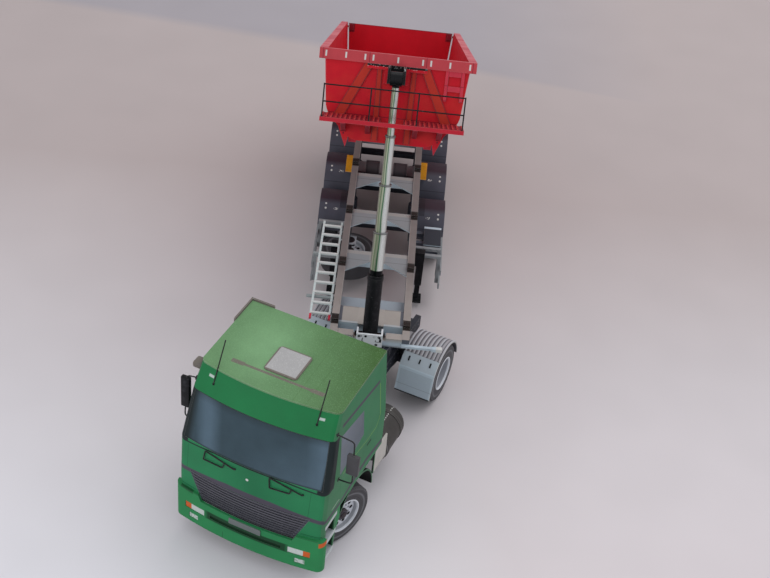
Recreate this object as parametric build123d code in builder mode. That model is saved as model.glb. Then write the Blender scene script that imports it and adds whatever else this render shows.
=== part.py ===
from build123d import *
import os
from math import atan2, cos, degrees, hypot, radians, sin

# A 1:25 card model of a tractor unit with a tipping semi-trailer.
# Millimetres, +X to the vehicle's left, -Y forwards, +Z up.
# The trailer stands along Y, the tractor is turned at the kingpin and the bed is raised.
# Pieces are drawn on their own carrier first: the tractor and the trailer with the
# kingpin at the origin, the bed with its rear pin at the origin, the cylinder along its axis.

# Card and clearances
CARD = 1.0
THICK_CARD = 1.6
WIRE = 1.0
SEAT_GAP = 0.15
TUBE_CLEARANCE = 0.2
PIN_CLEARANCE = 0.3

# Pose and places of the carriers
KINGPIN_X = 26.3
KINGPIN_Y = -86.2
TRACTOR_YAW = -21.4
STEER_ANGLE = -21.0
STEER_LIMIT = 23.0
BED_ANGLE = 25.1

# Wheels
WHEEL_RADIUS = 21.5
RIM_RADIUS = 12.4
FRONT_TYRE_WIDTH = 12.5
TWIN_TYRE_WIDTH = 11.6
TWIN_GAP = 1.8
TRAILER_TYRE_WIDTH = 15.4
DISC_DEPTH = 3.2
TWIN_DISH = 6.2
STUB_RADIUS = 2.0
HUB_RADIUS = 4.0
BEAD_STEP = 1.0
TREAD_SHOULDER = 1.3
RIM_HOLES = 10
RIM_HOLE_RADIUS = 1.1
RIM_HOLE_CIRCLE = 8.6
AXLE_Z = WHEEL_RADIUS

# Tractor
FRONT_AXLE_Y = -123.4
REAR_AXLE_Y = 23.3
FRONT_TRACK_OUTER = 47.3
REAR_TRACK_OUTER = 49.4
STEER_PIN_X = 30.5
CHASSIS_HALF = 17.0
CHASSIS_WEB = 1.2
CHASSIS_FLANGE = 4.0
CHASSIS_TOP = 37.5
CHASSIS_HEIGHT = 10.0
CHASSIS_FRONT = -150.5
CHASSIS_REAR = 55.0
CAB_HALF = 49.5
CAB_BROW_HALF = 47.0
CAB_TOP_HALF = 46.0
CAB_FRONT = -174.0
CAB_WAIST_FRONT = -172.5
CAB_BROW_FRONT = -162.5
CAB_TOP_FRONT = -154.0
CAB_BOW = 5.0
CAB_CORNER = 4.5
CAB_REAR = -86.5
CAB_FLOOR_Z = 50.0
CAB_WAIST_Z = 80.0
CAB_BROW_Z = 113.0
CAB_ROOF_Z = 127.0
SKIRT_BOTTOM_Z = 40.5
SKIRT_REAR = -166.0
BUMPER_BOTTOM_Z = 13.0
BUMPER_OVERHANG = 1.6
FIFTH_WHEEL_Z = 47.6

# Trailer
RAIL_INNER = 22.5
RAIL_FLANGE = 5.2
RAIL_WEB = 1.2
RAIL_TOP = 56.0
NECK_DEPTH = 7.8
RAIL_DEPTH = 19.0
TRAILER_FRONT = -4.0
TRAILER_REAR = 307.0
NECK_END = 82.0
NECK_SLOPE = 18.0
TRAILER_AXLES = (170.5, 223.0, 275.5)
TRAILER_TRACK_OUTER = 49.0
PAD_FIRST = 11.0
PAD_SPACING = 65.0
PAD_HEIGHT = 1.7
PAD_LENGTH = 4.4
PADS = 4
COUPLER_GAP = 0.4

# Bed, drawn lying flat with its rear pin at the origin
BED_PIN_Y = 302.0
BED_PIN_Z = 54.0
BED_FRONT = -284.0
BED_REAR = 22.0
BED_FLOOR = 6.1
BED_RIM_TOP = 64.6
BED_RIM_HEIGHT = 7.0
BED_RIM_WIDTH = 5.2
BED_RIM_HALF = 51.4
BED_WALL_TOP_HALF = 47.4
BED_WALL_LOW_HALF = 44.0
BED_WALL_LOW = 24.0
BED_FLOOR_HALF = 27.0
BED_CORNER_RADIUS = 14.0
WALKWAY_DEPTH = 24.0
WALKWAY_TOP = 22.8
WALKWAY_HALF = 46.5
RAILING_HEIGHT = 21.5

# Cylinder
CRADLE_Y = -1.0
CRADLE_Z = 55.5
EYE_AHEAD = 14.0
EYE_HEIGHT = 50.5
EYE_RADIUS = 4.7
EYE_BORE = 3.5
EYE_WIDTH = 7.6
HEAD_PIN_RADIUS = 1.3
STAGE_RADII = (4.5, 3.8, 3.1, 2.4)
STAGE_WALL = 0.5
STAGE_LENGTH = 45.6
BASE_RADIUS = 5.2
BASE_TOP = 42.1
BASE_TAIL = 4.6
COLLAR = 0.9
COLLAR_HEIGHT = 1.0

LEFT, RIGHT = 1, -1
SIDES = (LEFT, RIGHT)

os.makedirs("parts", exist_ok=True)


def save(piece, name):
    """Write one finished piece under its node's name."""
    piece.label = name
    export_step(piece, f"parts/{name}.step")


def on_trailer(piece):
    """Trailer drawing to the part's frame."""
    return piece.moved(Location((KINGPIN_X, KINGPIN_Y, 0)))


def on_tractor(piece):
    """Tractor drawing to the part's frame, turned at the kingpin."""
    return piece.moved(Location((KINGPIN_X, KINGPIN_Y, 0), (0, 0, TRACTOR_YAW)))


def on_bed(piece):
    """Bed drawing to the part's frame, raised about its rear pin."""
    place = Location((KINGPIN_X, KINGPIN_Y + BED_PIN_Y, BED_PIN_Z), (-BED_ANGLE, 0, 0))
    return piece.moved(place)


def bed_point(along, up):
    """Trailer Y and Z of a point of the raised bed."""
    lift = radians(BED_ANGLE)
    y = BED_PIN_Y + cos(lift) * along + sin(lift) * up
    z = BED_PIN_Z - sin(lift) * along + cos(lift) * up
    return y, z


EYE_Y, EYE_Z = bed_point(BED_FRONT - EYE_AHEAD, EYE_HEIGHT)
CYLINDER_LENGTH = hypot(EYE_Y - CRADLE_Y, EYE_Z - CRADLE_Z)
CYLINDER_LEAN = degrees(atan2(EYE_Y - CRADLE_Y, EYE_Z - CRADLE_Z))
STAGE_STEP = (CYLINDER_LENGTH - EYE_RADIUS + 0.3 - BASE_TOP) / len(STAGE_RADII)


def on_cylinder(piece):
    """Cylinder drawing, along +Z from its cradle pin, to the part's frame."""
    place = Location((KINGPIN_X, KINGPIN_Y + CRADLE_Y, CRADLE_Z), (-CYLINDER_LEAN, 0, 0))
    return piece.moved(place)


def wheel(width, dish, tyres=1, holes=RIM_HOLES):
    """One wheel about X with its outer face at x = 0: tyre, rim and pierced disc in one.

    A twin wheel has a second tyre behind the first, on the same drum, and a plain disc.
    """
    inner_face = -width
    disc_inner = -dish - CARD
    drum_inner = inner_face - (tyres - 1) * (width + TWIN_GAP)
    with BuildPart() as turned:
        with BuildSketch(Plane.XY):
            for number in range(tyres):
                face = -number * (width + TWIN_GAP)
                with BuildLine():
                    Polyline(
                        (face, RIM_RADIUS),
                        (face, WHEEL_RADIUS - TREAD_SHOULDER),
                        (face - TREAD_SHOULDER, WHEEL_RADIUS),
                        (face - width + TREAD_SHOULDER, WHEEL_RADIUS),
                        (face - width, WHEEL_RADIUS - TREAD_SHOULDER),
                        (face - width, RIM_RADIUS),
                        close=True,
                    )
                make_face()
            with BuildLine():
                Polyline(
                    (0, RIM_RADIUS),
                    (-BEAD_STEP, RIM_RADIUS - BEAD_STEP),
                    (-dish, RIM_RADIUS - BEAD_STEP),
                    (-dish, HUB_RADIUS),
                    (-dish + DISC_DEPTH / 2, HUB_RADIUS),
                    (-dish + DISC_DEPTH / 2, STUB_RADIUS + PIN_CLEARANCE),
                    (disc_inner - DISC_DEPTH, STUB_RADIUS + PIN_CLEARANCE),
                    (disc_inner - DISC_DEPTH, HUB_RADIUS),
                    (disc_inner, HUB_RADIUS),
                    (disc_inner, RIM_RADIUS - BEAD_STEP),
                    (drum_inner, RIM_RADIUS - BEAD_STEP),
                    (drum_inner, RIM_RADIUS),
                    close=True,
                )
            make_face()
        revolve(axis=Axis.X)
        if holes:
            with Locations(Plane((0, 0, 0), x_dir=(0, 1, 0), z_dir=(1, 0, 0))):
                with PolarLocations(RIM_HOLE_CIRCLE, holes):
                    Cylinder(RIM_HOLE_RADIUS, 3 * WHEEL_RADIUS, mode=Mode.SUBTRACT)
    return turned.part


def side_of(piece, side):
    """The piece as drawn for the left, or mirrored for the right."""
    return piece if side == LEFT else mirror(piece, about=Plane.YZ)


# Wheels
front_wheel = wheel(FRONT_TYRE_WIDTH, DISC_DEPTH)
twin_wheel = wheel(TWIN_TYRE_WIDTH, TWIN_DISH, tyres=2, holes=0)
trailer_wheel = wheel(TRAILER_TYRE_WIDTH, DISC_DEPTH)
STEER_TURN = Rotation(0, 0, STEER_ANGLE)
for side, side_name in ((LEFT, "left"), (RIGHT, "right")):
    steered = side_of(front_wheel.moved(Location((FRONT_TRACK_OUTER - STEER_PIN_X, 0, 0))), side)
    steered = steered.moved(STEER_TURN)
    steered = steered.moved(Location((side * STEER_PIN_X, FRONT_AXLE_Y, AXLE_Z)))
    save(on_tractor(steered), f"wheel_front_{side_name}")
    twin = side_of(twin_wheel.moved(Location((REAR_TRACK_OUTER, REAR_AXLE_Y, AXLE_Z))), side)
    save(on_tractor(twin), f"wheel_rear_{side_name}")
    for number, axle_y in enumerate(TRAILER_AXLES, start=1):
        single = trailer_wheel.moved(Location((TRAILER_TRACK_OUTER, axle_y, AXLE_Z)))
        save(on_trailer(side_of(single, side)), f"wheel_trailer_{number}_{side_name}")

# Steering knuckles: pin, body and stub on the steered axis
KNUCKLE_HALF = 2.6
KNUCKLE_PIN_RADIUS = 1.2
KNUCKLE_PIN_HALF = 4.6
FRONT_STUB_END = FRONT_TRACK_OUTER - STEER_PIN_X - DISC_DEPTH / 2
for side, side_name in ((LEFT, "left"), (RIGHT, "right")):
    with BuildPart() as knuckle:
        Box(2 * KNUCKLE_HALF, 2 * KNUCKLE_HALF, 2 * KNUCKLE_HALF)
        Cylinder(KNUCKLE_PIN_RADIUS, 2 * KNUCKLE_PIN_HALF)
        with BuildSketch(Plane.YZ):
            Circle(STUB_RADIUS)
        extrude(amount=FRONT_STUB_END)
    steered = side_of(knuckle.part, side).moved(STEER_TURN)
    steered = steered.moved(Location((side * STEER_PIN_X, FRONT_AXLE_Y, AXLE_Z)))
    save(on_tractor(steered), f"knuckle_{side_name}")

# Front axle: a beam with a fork at each end and spring pads under the frame
AXLE_BEAM = 4.4
FORK_THICK = 1.4
FORK_GAP = KNUCKLE_HALF + SEAT_GAP
SPRING_HALF_WIDTH = 2.0
SPRING_HALF_LENGTH = 20.0
CHASSIS_BOTTOM = CHASSIS_TOP - CHASSIS_HEIGHT
SPRING_X = CHASSIS_HALF - CHASSIS_FLANGE / 2
with BuildPart() as front_axle:
    beam_end = STEER_PIN_X - KNUCKLE_HALF - 1.2
    with Locations((0, FRONT_AXLE_Y, AXLE_Z)):
        Box(2 * beam_end, AXLE_BEAM, AXLE_BEAM)
    for side in SIDES:
        fork_centre = side * (beam_end + STEER_PIN_X + KNUCKLE_HALF) / 2
        fork_length = STEER_PIN_X + KNUCKLE_HALF - beam_end
        for up in (1, -1):
            with Locations((fork_centre, FRONT_AXLE_Y, AXLE_Z + up * (FORK_GAP + FORK_THICK / 2))):
                Box(fork_length, AXLE_BEAM, FORK_THICK)
        with Locations((side * (beam_end - 0.6), FRONT_AXLE_Y, AXLE_Z)):
            Box(1.2, AXLE_BEAM, 2 * (FORK_GAP + FORK_THICK))
        with Locations((side * STEER_PIN_X, FRONT_AXLE_Y, AXLE_Z)):
            Cylinder(KNUCKLE_PIN_RADIUS + PIN_CLEARANCE, 20, mode=Mode.SUBTRACT)
        with BuildSketch(Plane.YZ.offset(side * SPRING_X - SPRING_HALF_WIDTH)):
            with BuildLine():
                ends = SPRING_HALF_LENGTH
                ThreePointArc(
                    (FRONT_AXLE_Y - ends, CHASSIS_BOTTOM),
                    (FRONT_AXLE_Y, AXLE_Z + AXLE_BEAM / 2 - 0.6),
                    (FRONT_AXLE_Y + ends, CHASSIS_BOTTOM),
                )
                Line((FRONT_AXLE_Y + ends, CHASSIS_BOTTOM), (FRONT_AXLE_Y - ends, CHASSIS_BOTTOM))
            make_face()
        extrude(amount=2 * SPRING_HALF_WIDTH)
save(on_tractor(front_axle.part), "front_axle")

# Rear axle: a tube with the differential, stubs through the twin wheels and spring packs
REAR_TUBE = 3.2
DIFF_RADIUS = 8.5
DIFF_CROWN = 4.0
REAR_STUB_END = REAR_TRACK_OUTER - TWIN_DISH + DISC_DEPTH / 2
REAR_TUBE_END = REAR_TRACK_OUTER - 2 * TWIN_TYRE_WIDTH - TWIN_GAP + 6.0
with BuildPart() as rear_axle:
    with BuildSketch(Plane.XY.offset(0)):
        with BuildLine():
            Polyline(
                (-REAR_STUB_END, 0),
                (-REAR_STUB_END, STUB_RADIUS),
                (-REAR_TUBE_END, STUB_RADIUS),
                (-REAR_TUBE_END, REAR_TUBE),
                (-DIFF_RADIUS, REAR_TUBE),
                (-DIFF_CROWN, DIFF_RADIUS),
                (DIFF_CROWN, DIFF_RADIUS),
                (DIFF_RADIUS, REAR_TUBE),
                (REAR_TUBE_END, REAR_TUBE),
                (REAR_TUBE_END, STUB_RADIUS),
                (REAR_STUB_END, STUB_RADIUS),
                (REAR_STUB_END, 0),
                (-REAR_STUB_END, 0),
            )
        make_face()
    revolve(axis=Axis.X)
    for side in SIDES:
        with BuildSketch(Plane.YZ.offset(side * SPRING_X - SPRING_HALF_WIDTH)):
            with BuildLine():
                ends = SPRING_HALF_LENGTH
                rise = CHASSIS_BOTTOM - AXLE_Z
                ThreePointArc((-ends, rise), (0, REAR_TUBE - 0.6), (ends, rise))
                Line((ends, rise), (-ends, rise))
            make_face()
        extrude(amount=2 * SPRING_HALF_WIDTH)
save(on_tractor(rear_axle.part.moved(Location((0, REAR_AXLE_Y, AXLE_Z)))), "rear_axle")

# Chassis frame: two channel rails, their cross-members and the cab's mounts
CROSS_HALF_LENGTH = 3.0
CAB_MOUNTS = (-147.0, -92.0)
CAB_MOUNT_SIZE = 5.0
CHASSIS_CROSSES = (-145.0, -95.0, -40.0, 48.0)
CHASSIS_LENGTH = CHASSIS_REAR - CHASSIS_FRONT
CHASSIS_MIDDLE = (CHASSIS_REAR + CHASSIS_FRONT) / 2
with BuildPart() as chassis:
    for side in SIDES:
        with Locations((side * (CHASSIS_HALF - CHASSIS_WEB / 2), CHASSIS_MIDDLE, CHASSIS_TOP)):
            Box(CHASSIS_WEB, CHASSIS_LENGTH, CHASSIS_HEIGHT, align=(Align.CENTER, Align.CENTER, Align.MAX))
        for height in (CHASSIS_TOP, CHASSIS_BOTTOM + CARD):
            with Locations((side * (CHASSIS_HALF - CHASSIS_FLANGE / 2), CHASSIS_MIDDLE, height)):
                Box(CHASSIS_FLANGE, CHASSIS_LENGTH, CARD, align=(Align.CENTER, Align.CENTER, Align.MAX))
    for cross_y in CHASSIS_CROSSES:
        with Locations((0, cross_y, CHASSIS_TOP - CHASSIS_HEIGHT / 2)):
            Box(2 * CHASSIS_HALF, 2 * CROSS_HALF_LENGTH, CHASSIS_HEIGHT - 3 * CARD)
    for side in SIDES:
        for mount_y in CAB_MOUNTS:
            with Locations((side * (CHASSIS_HALF - CHASSIS_FLANGE / 2), mount_y, CHASSIS_TOP)):
                mount_height = CAB_FLOOR_Z - CHASSIS_TOP
                mount_align = (Align.CENTER, Align.CENTER, Align.MIN)
                Box(CHASSIS_FLANGE, CAB_MOUNT_SIZE, mount_height, align=mount_align)
save(on_tractor(chassis.part), "chassis_frame")

# Fifth wheel: a plate on two pedestals, its throat open to the rear
PLATE_THICK = 2.0
PLATE_HALF = 15.0
KINGPIN_RADIUS = 1.8
with BuildPart() as fifth_wheel:
    with BuildSketch(Plane.XY.offset(FIFTH_WHEEL_Z - PLATE_THICK)):
        Circle(PLATE_HALF)
        with Locations((0, PLATE_HALF)):
            Rectangle(2 * PLATE_HALF, PLATE_HALF)
        with BuildLine():
            Polyline(
                (-KINGPIN_RADIUS - PIN_CLEARANCE, 0),
                (KINGPIN_RADIUS + PIN_CLEARANCE, 0),
                (PLATE_HALF / 2, 1.5 * PLATE_HALF),
                (-PLATE_HALF / 2, 1.5 * PLATE_HALF),
                close=True,
            )
        make_face(mode=Mode.SUBTRACT)
        Circle(KINGPIN_RADIUS + PIN_CLEARANCE, mode=Mode.SUBTRACT)
    extrude(amount=PLATE_THICK)
    for side in SIDES:
        with Locations((side * (PLATE_HALF - 2.0), 2.0, CHASSIS_TOP)):
            pedestal = FIFTH_WHEEL_Z - PLATE_THICK - CHASSIS_TOP
            Box(3.2, 14.0, pedestal, align=(Align.CENTER, Align.CENTER, Align.MIN))
save(on_tractor(fifth_wheel.part), "fifth_wheel")


def cab_section(z, half, front, inset=0.0):
    """Plan outline of the cab at one height: bowed front, rounded front corners."""
    with BuildSketch(Plane.XY.offset(z)) as outline:
        with BuildLine():
            side_front = front + CAB_BOW + inset
            Polyline(
                (half - inset, side_front),
                (half - inset, CAB_REAR - inset),
                (inset - half, CAB_REAR - inset),
                (inset - half, side_front),
            )
            ThreePointArc((inset - half, side_front), (0, front + inset), (half - inset, side_front))
        make_face()
        front_corners = outline.vertices().group_by(Axis.Y)[0]
        fillet(front_corners, CAB_CORNER - inset)
    return outline.sketch


# Cab sections from the floor up: height, half width and the front on the centre line
CAB_SECTIONS = (
    (CAB_FLOOR_Z, CAB_HALF, CAB_FRONT),
    (CAB_WAIST_Z, CAB_HALF, CAB_WAIST_FRONT),
    (CAB_BROW_Z, CAB_BROW_HALF, CAB_BROW_FRONT),
    (CAB_ROOF_Z, CAB_TOP_HALF, CAB_TOP_FRONT),
)


def cab_line(z):
    """Half width and front of the cab at a height, straight between its sections."""
    for low, high in zip(CAB_SECTIONS, CAB_SECTIONS[1:]):
        if z <= high[0]:
            break
    share = (z - low[0]) / (high[0] - low[0])
    half = low[1] + share * (high[1] - low[1])
    front = low[2] + share * (high[2] - low[2])
    return half, front


def cab_loft(inset, bottom, top):
    """Cab body between two heights, by the sections that shape it."""
    levels = (bottom, CAB_WAIST_Z, CAB_BROW_Z, top)
    with BuildPart() as body:
        for low, high in zip(levels, levels[1:]):
            ends = [cab_section(z, *cab_line(z), inset) for z in (low, high)]
            loft(sections=ends, ruled=True)
    return body.part


# Windows, as outlines that cut the shell and shape the panes
SCREEN_BOTTOM = 81.0
SCREEN_TOP = 112.6
SCREEN_LOW_HALF = 46.4
SCREEN_HIGH_HALF = 44.0
SCREEN_REACH = 30.0
# Side window's corners: Y and Z, from the front at the bottom round to the front at the top
SIDE_WINDOW = ((-151.0, 80.5), (-118.0, 86.0), (-118.0, 105.4), (-148.5, 109.8))


def window_cutters(shrink):
    """Prisms through the front wall and both sides, smaller all round by shrink."""
    with BuildPart() as cutters:
        with BuildSketch(Plane.XZ.offset(-CAB_FRONT - SCREEN_REACH)):
            with BuildLine():
                Polyline(
                    (-SCREEN_LOW_HALF + shrink, SCREEN_BOTTOM + shrink),
                    (SCREEN_LOW_HALF - shrink, SCREEN_BOTTOM + shrink),
                    (SCREEN_HIGH_HALF - shrink, SCREEN_TOP - shrink),
                    (-SCREEN_HIGH_HALF + shrink, SCREEN_TOP - shrink),
                    close=True,
                )
            make_face()
        extrude(amount=SCREEN_REACH)
        with BuildSketch(Plane.YZ.offset(-CAB_HALF - 2 * CARD)):
            with BuildLine():
                Polyline(*SIDE_WINDOW, close=True)
            make_face()
            if shrink:
                offset(amount=-shrink, kind=Kind.INTERSECTION)
        extrude(amount=2 * CAB_HALF + 4 * CARD)
    return cutters.part


# Grille opening, through the cab's front over the bumper and into its upper edge
GRILLE_TOP = 56.5
GRILLE_BOTTOM = 35.6
GRILLE_TOP_HALF = 41.0
GRILLE_LOW_HALF = 31.5
GRILLE_PROUD = 8.0


def grille_prism(shrink):
    """Prism through the front wall at the grille, as deep as the wall's bow."""
    with BuildPart() as prism:
        with BuildSketch(Plane.XZ.offset(-CAB_FRONT - CAB_BOW)):
            with BuildLine():
                Polyline(
                    (-GRILLE_LOW_HALF + shrink, GRILLE_BOTTOM + shrink),
                    (GRILLE_LOW_HALF - shrink, GRILLE_BOTTOM + shrink),
                    (GRILLE_TOP_HALF - shrink, GRILLE_TOP - shrink),
                    (-GRILLE_TOP_HALF + shrink, GRILLE_TOP - shrink),
                    close=True,
                )
            make_face()
        extrude(amount=CAB_BOW + GRILLE_PROUD)
    return prism.part


def skirt_ring(bottom, top, inset, overhang=0.0):
    """Band round the cab's nose, from one height to another."""
    with BuildPart() as band:
        add(cab_section(bottom, CAB_HALF + overhang, CAB_FRONT - overhang))
        extrude(amount=top - bottom)
        add(cab_section(bottom, CAB_HALF + overhang, CAB_FRONT - overhang, inset))
        extrude(amount=top - bottom, mode=Mode.SUBTRACT)
        with Locations((0, SKIRT_REAR, bottom)):
            behind = CAB_REAR - SKIRT_REAR + CARD
            behind_align = (Align.CENTER, Align.MIN, Align.MIN)
            Box(3 * CAB_HALF, behind, top - bottom, align=behind_align, mode=Mode.SUBTRACT)
    return band.part


with BuildPart() as cab_walls:
    add(cab_loft(0.0, CAB_FLOOR_Z, CAB_ROOF_Z))
    add(cab_loft(CARD, CAB_FLOOR_Z + CARD, CAB_ROOF_Z + CARD), mode=Mode.SUBTRACT)
with BuildPart() as cab_shell:
    add(cab_walls.part)
    add(skirt_ring(SKIRT_BOTTOM_Z, CAB_FLOOR_Z, CARD))
    add(window_cutters(0.0), mode=Mode.SUBTRACT)
    add(grille_prism(0.0), mode=Mode.SUBTRACT)
save(on_tractor(cab_shell.part), "cab_shell")

with BuildPart() as panes:
    add(cab_walls.part)
    add(window_cutters(SEAT_GAP), mode=Mode.INTERSECT)
save(on_tractor(panes.part), "window_panes")

# Grille: a frame on the cab's front line, with level slats between its edges
SLATS = 9
SLAT_HEIGHT = 1.0
with BuildPart() as grille:
    add(skirt_ring(GRILLE_BOTTOM, GRILLE_TOP, CARD))
    add(grille_prism(SEAT_GAP), mode=Mode.INTERSECT)
    opening_pitch = (GRILLE_TOP - GRILLE_BOTTOM - 2 * CARD) / SLATS
    for number in range(SLATS):
        slot_z = GRILLE_BOTTOM + CARD + opening_pitch * (number + 0.5)
        share = (slot_z - GRILLE_BOTTOM) / (GRILLE_TOP - GRILLE_BOTTOM)
        slot_half = GRILLE_LOW_HALF + share * (GRILLE_TOP_HALF - GRILLE_LOW_HALF) - 2 * CARD
        with Locations((0, CAB_FRONT, slot_z)):
            Box(2 * slot_half, 3 * CAB_BOW, opening_pitch - SLAT_HEIGHT, mode=Mode.SUBTRACT)
save(on_tractor(grille.part), "grille")

# Roof panel with the hatch opening, and the hatch lid over it
HATCH_HALF = 11.0
HATCH_FRONT = -137.8
HATCH_REAR = -115.2
HATCH_LAP = 1.2
HATCH_CORNER = 2.5
HATCH_MIDDLE = (HATCH_FRONT + HATCH_REAR) / 2
with BuildPart() as cab_roof:
    add(cab_section(CAB_ROOF_Z, CAB_TOP_HALF, CAB_TOP_FRONT))
    extrude(amount=CARD)
    with Locations((0, HATCH_MIDDLE, CAB_ROOF_Z)):
        Box(
            2 * (HATCH_HALF - HATCH_LAP),
            HATCH_REAR - HATCH_FRONT - 2 * HATCH_LAP,
            4 * CARD,
            mode=Mode.SUBTRACT,
        )
save(on_tractor(cab_roof.part), "cab_roof")

with BuildPart() as hatch:
    with BuildSketch(Plane.XY.offset(CAB_ROOF_Z + CARD)):
        with Locations((0, HATCH_MIDDLE)):
            RectangleRounded(2 * HATCH_HALF, HATCH_REAR - HATCH_FRONT, HATCH_CORNER)
    extrude(amount=CARD)
    chamfer(hatch.faces().sort_by(Axis.Z)[-1].edges(), 0.4)
save(on_tractor(hatch.part), "roof_hatch")

# Bumper: a proud band under the skirt, cut out for the grille's foot, the air slot and the lamps
BUMPER_SHELF = 4.0
SLOT_HALF = 24.6
SLOT_Z = 26.6
SLOT_HEIGHT = 2.8
LAMP_REACH = 24.0
# Each lamp opening: middle x, middle z, width and height
LAMP_OPENINGS = ((36.1, 26.6, 14.6, 5.4), (37.0, 18.7, 6.7, 4.3))
with BuildPart() as bumper:
    add(skirt_ring(BUMPER_BOTTOM_Z, SKIRT_BOTTOM_Z, THICK_CARD, BUMPER_OVERHANG))
    add(skirt_ring(SKIRT_BOTTOM_Z - CARD, SKIRT_BOTTOM_Z, BUMPER_SHELF, BUMPER_OVERHANG))
    with Locations((0, CAB_FRONT, SLOT_Z)):
        Box(2 * SLOT_HALF, LAMP_REACH, SLOT_HEIGHT, mode=Mode.SUBTRACT)
    for side in SIDES:
        for lamp_x, lamp_z, lamp_width, lamp_height in LAMP_OPENINGS:
            with Locations((side * lamp_x, CAB_FRONT, lamp_z)):
                Box(lamp_width, LAMP_REACH, lamp_height, mode=Mode.SUBTRACT)
    add(grille_prism(0.0), mode=Mode.SUBTRACT)
save(on_tractor(bumper.part), "bumper")

# Head lamps and fog lamps, set back a little in the bumper's openings
LAMP_SETBACK = 0.4
with BuildPart() as head_lamps:
    for side in SIDES:
        for lamp_x, lamp_z, lamp_width, lamp_height in LAMP_OPENINGS:
            with Locations((side * lamp_x, CAB_FRONT, lamp_z)):
                Box(lamp_width - 2 * SEAT_GAP, LAMP_REACH, lamp_height - 2 * SEAT_GAP)
    lamp_band = skirt_ring(BUMPER_BOTTOM_Z, SKIRT_BOTTOM_Z, THICK_CARD, BUMPER_OVERHANG - LAMP_SETBACK)
    add(lamp_band, mode=Mode.INTERSECT)
save(on_tractor(head_lamps.part), "head_lamps")


def box_between(low, high, mode=Mode.ADD):
    """Box by two opposite corners, inside a part block."""
    size = [upper - lower for lower, upper in zip(low, high)]
    with Locations(low):
        Box(*size, align=(Align.MIN, Align.MIN, Align.MIN), mode=mode)


def rods(runs, radius):
    """Round bars, each between two points."""
    with BuildPart() as bars:
        for start, end in runs:
            run = Vector(*end) - Vector(*start)
            with BuildSketch(Plane(origin=start, z_dir=run)):
                Circle(radius)
            extrude(amount=run.length)
    return bars.part


def both_sides(piece):
    """The piece drawn on the left, with its mirror image on the right."""
    with BuildPart() as pair:
        add(piece)
        mirror(piece, about=Plane.YZ)
    return pair.part


# Wheel arches: a half pipe over each front wheel, with the wing panel behind it
ARCH_GAP = 0.1
ARCH_RADIUS = CAB_FLOOR_Z - AXLE_Z - CARD - ARCH_GAP
ARCH_INNER_X = 21.0
ARCH_OUTER_X = CAB_HALF - 0.3
WING_REAR = -76.5
WING_BOTTOM = 30.0
ARCH_END = FRONT_AXLE_Y + ARCH_RADIUS
with BuildPart() as arch:
    with BuildSketch(Plane.YZ.offset(ARCH_INNER_X)):
        with Locations((FRONT_AXLE_Y, AXLE_Z)):
            Circle(ARCH_RADIUS + CARD)
            Circle(ARCH_RADIUS, mode=Mode.SUBTRACT)
        with Locations((FRONT_AXLE_Y, AXLE_Z - ARCH_RADIUS)):
            Rectangle(3 * ARCH_RADIUS, 2 * ARCH_RADIUS, mode=Mode.SUBTRACT)
    extrude(amount=ARCH_OUTER_X - ARCH_INNER_X)
    with BuildSketch(Plane.YZ.offset(ARCH_OUTER_X - CARD)):
        with BuildLine():
            Polyline(
                (ARCH_END + CARD / 2, WING_BOTTOM),
                (ARCH_END + CARD / 2, CAB_FLOOR_Z - SEAT_GAP),
                (WING_REAR, CAB_FLOOR_Z - SEAT_GAP),
                (WING_REAR + CARD, WING_BOTTOM - CARD),
                close=True,
            )
        make_face()
    extrude(amount=CARD)
save(on_tractor(both_sides(arch.part)), "arch_liners")

# Cab steps: a well at each side between bumper and arch, with two recessed treads
STEP_WIDTH = 10.5
STEP_OUTER_X = CAB_HALF
STEP_INNER_X = STEP_OUTER_X - STEP_WIDTH
STEP_FRONT = SKIRT_REAR + SEAT_GAP
STEP_REAR = -146.0
STEP_BOTTOM = 15.2
STEP_TOP = CAB_FLOOR_Z
TREAD_DEPTH = 7.5
# Each recess: its bottom and its top
STEP_RECESSES = ((19.6, 30.2), (34.2, 46.4))
with BuildPart() as steps:
    box_between((STEP_INNER_X, STEP_FRONT, STEP_BOTTOM), (STEP_OUTER_X, STEP_REAR, STEP_TOP))
    with BuildSketch(Plane.YZ.offset(STEP_INNER_X)):
        with Locations((FRONT_AXLE_Y, AXLE_Z)):
            Circle(ARCH_RADIUS + CARD + SEAT_GAP)
        with Locations((FRONT_AXLE_Y, STEP_BOTTOM)):
            Rectangle(2 * (ARCH_RADIUS + CARD + SEAT_GAP), 2 * (AXLE_Z - STEP_BOTTOM))
    extrude(amount=STEP_OUTER_X - STEP_INNER_X, mode=Mode.SUBTRACT)
    recess_rear = FRONT_AXLE_Y - ARCH_RADIUS - 2 * CARD - SEAT_GAP
    for recess_bottom, recess_top in STEP_RECESSES:
        low = (STEP_OUTER_X - TREAD_DEPTH, STEP_FRONT + CARD, recess_bottom)
        high = (STEP_OUTER_X + CARD, recess_rear, recess_top)
        box_between(low, high, Mode.SUBTRACT)
save(on_tractor(both_sides(steps.part)), "cab_steps")

# Mirrors: a bent wire frame at each side with a main and a wide-angle housing
MIRROR_X = 58.0
MIRROR_Y = -162.0
MIRROR_TOP = 120.0
MIRROR_BOTTOM = 90.0
MIRROR_ARM_ROOT_TOP = (45.9, -152.5, 115.0)
MIRROR_ARM_ROOT_LOW = (48.4, -154.0, 84.0)
HOUSING_DEPTH = 3.4
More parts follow.
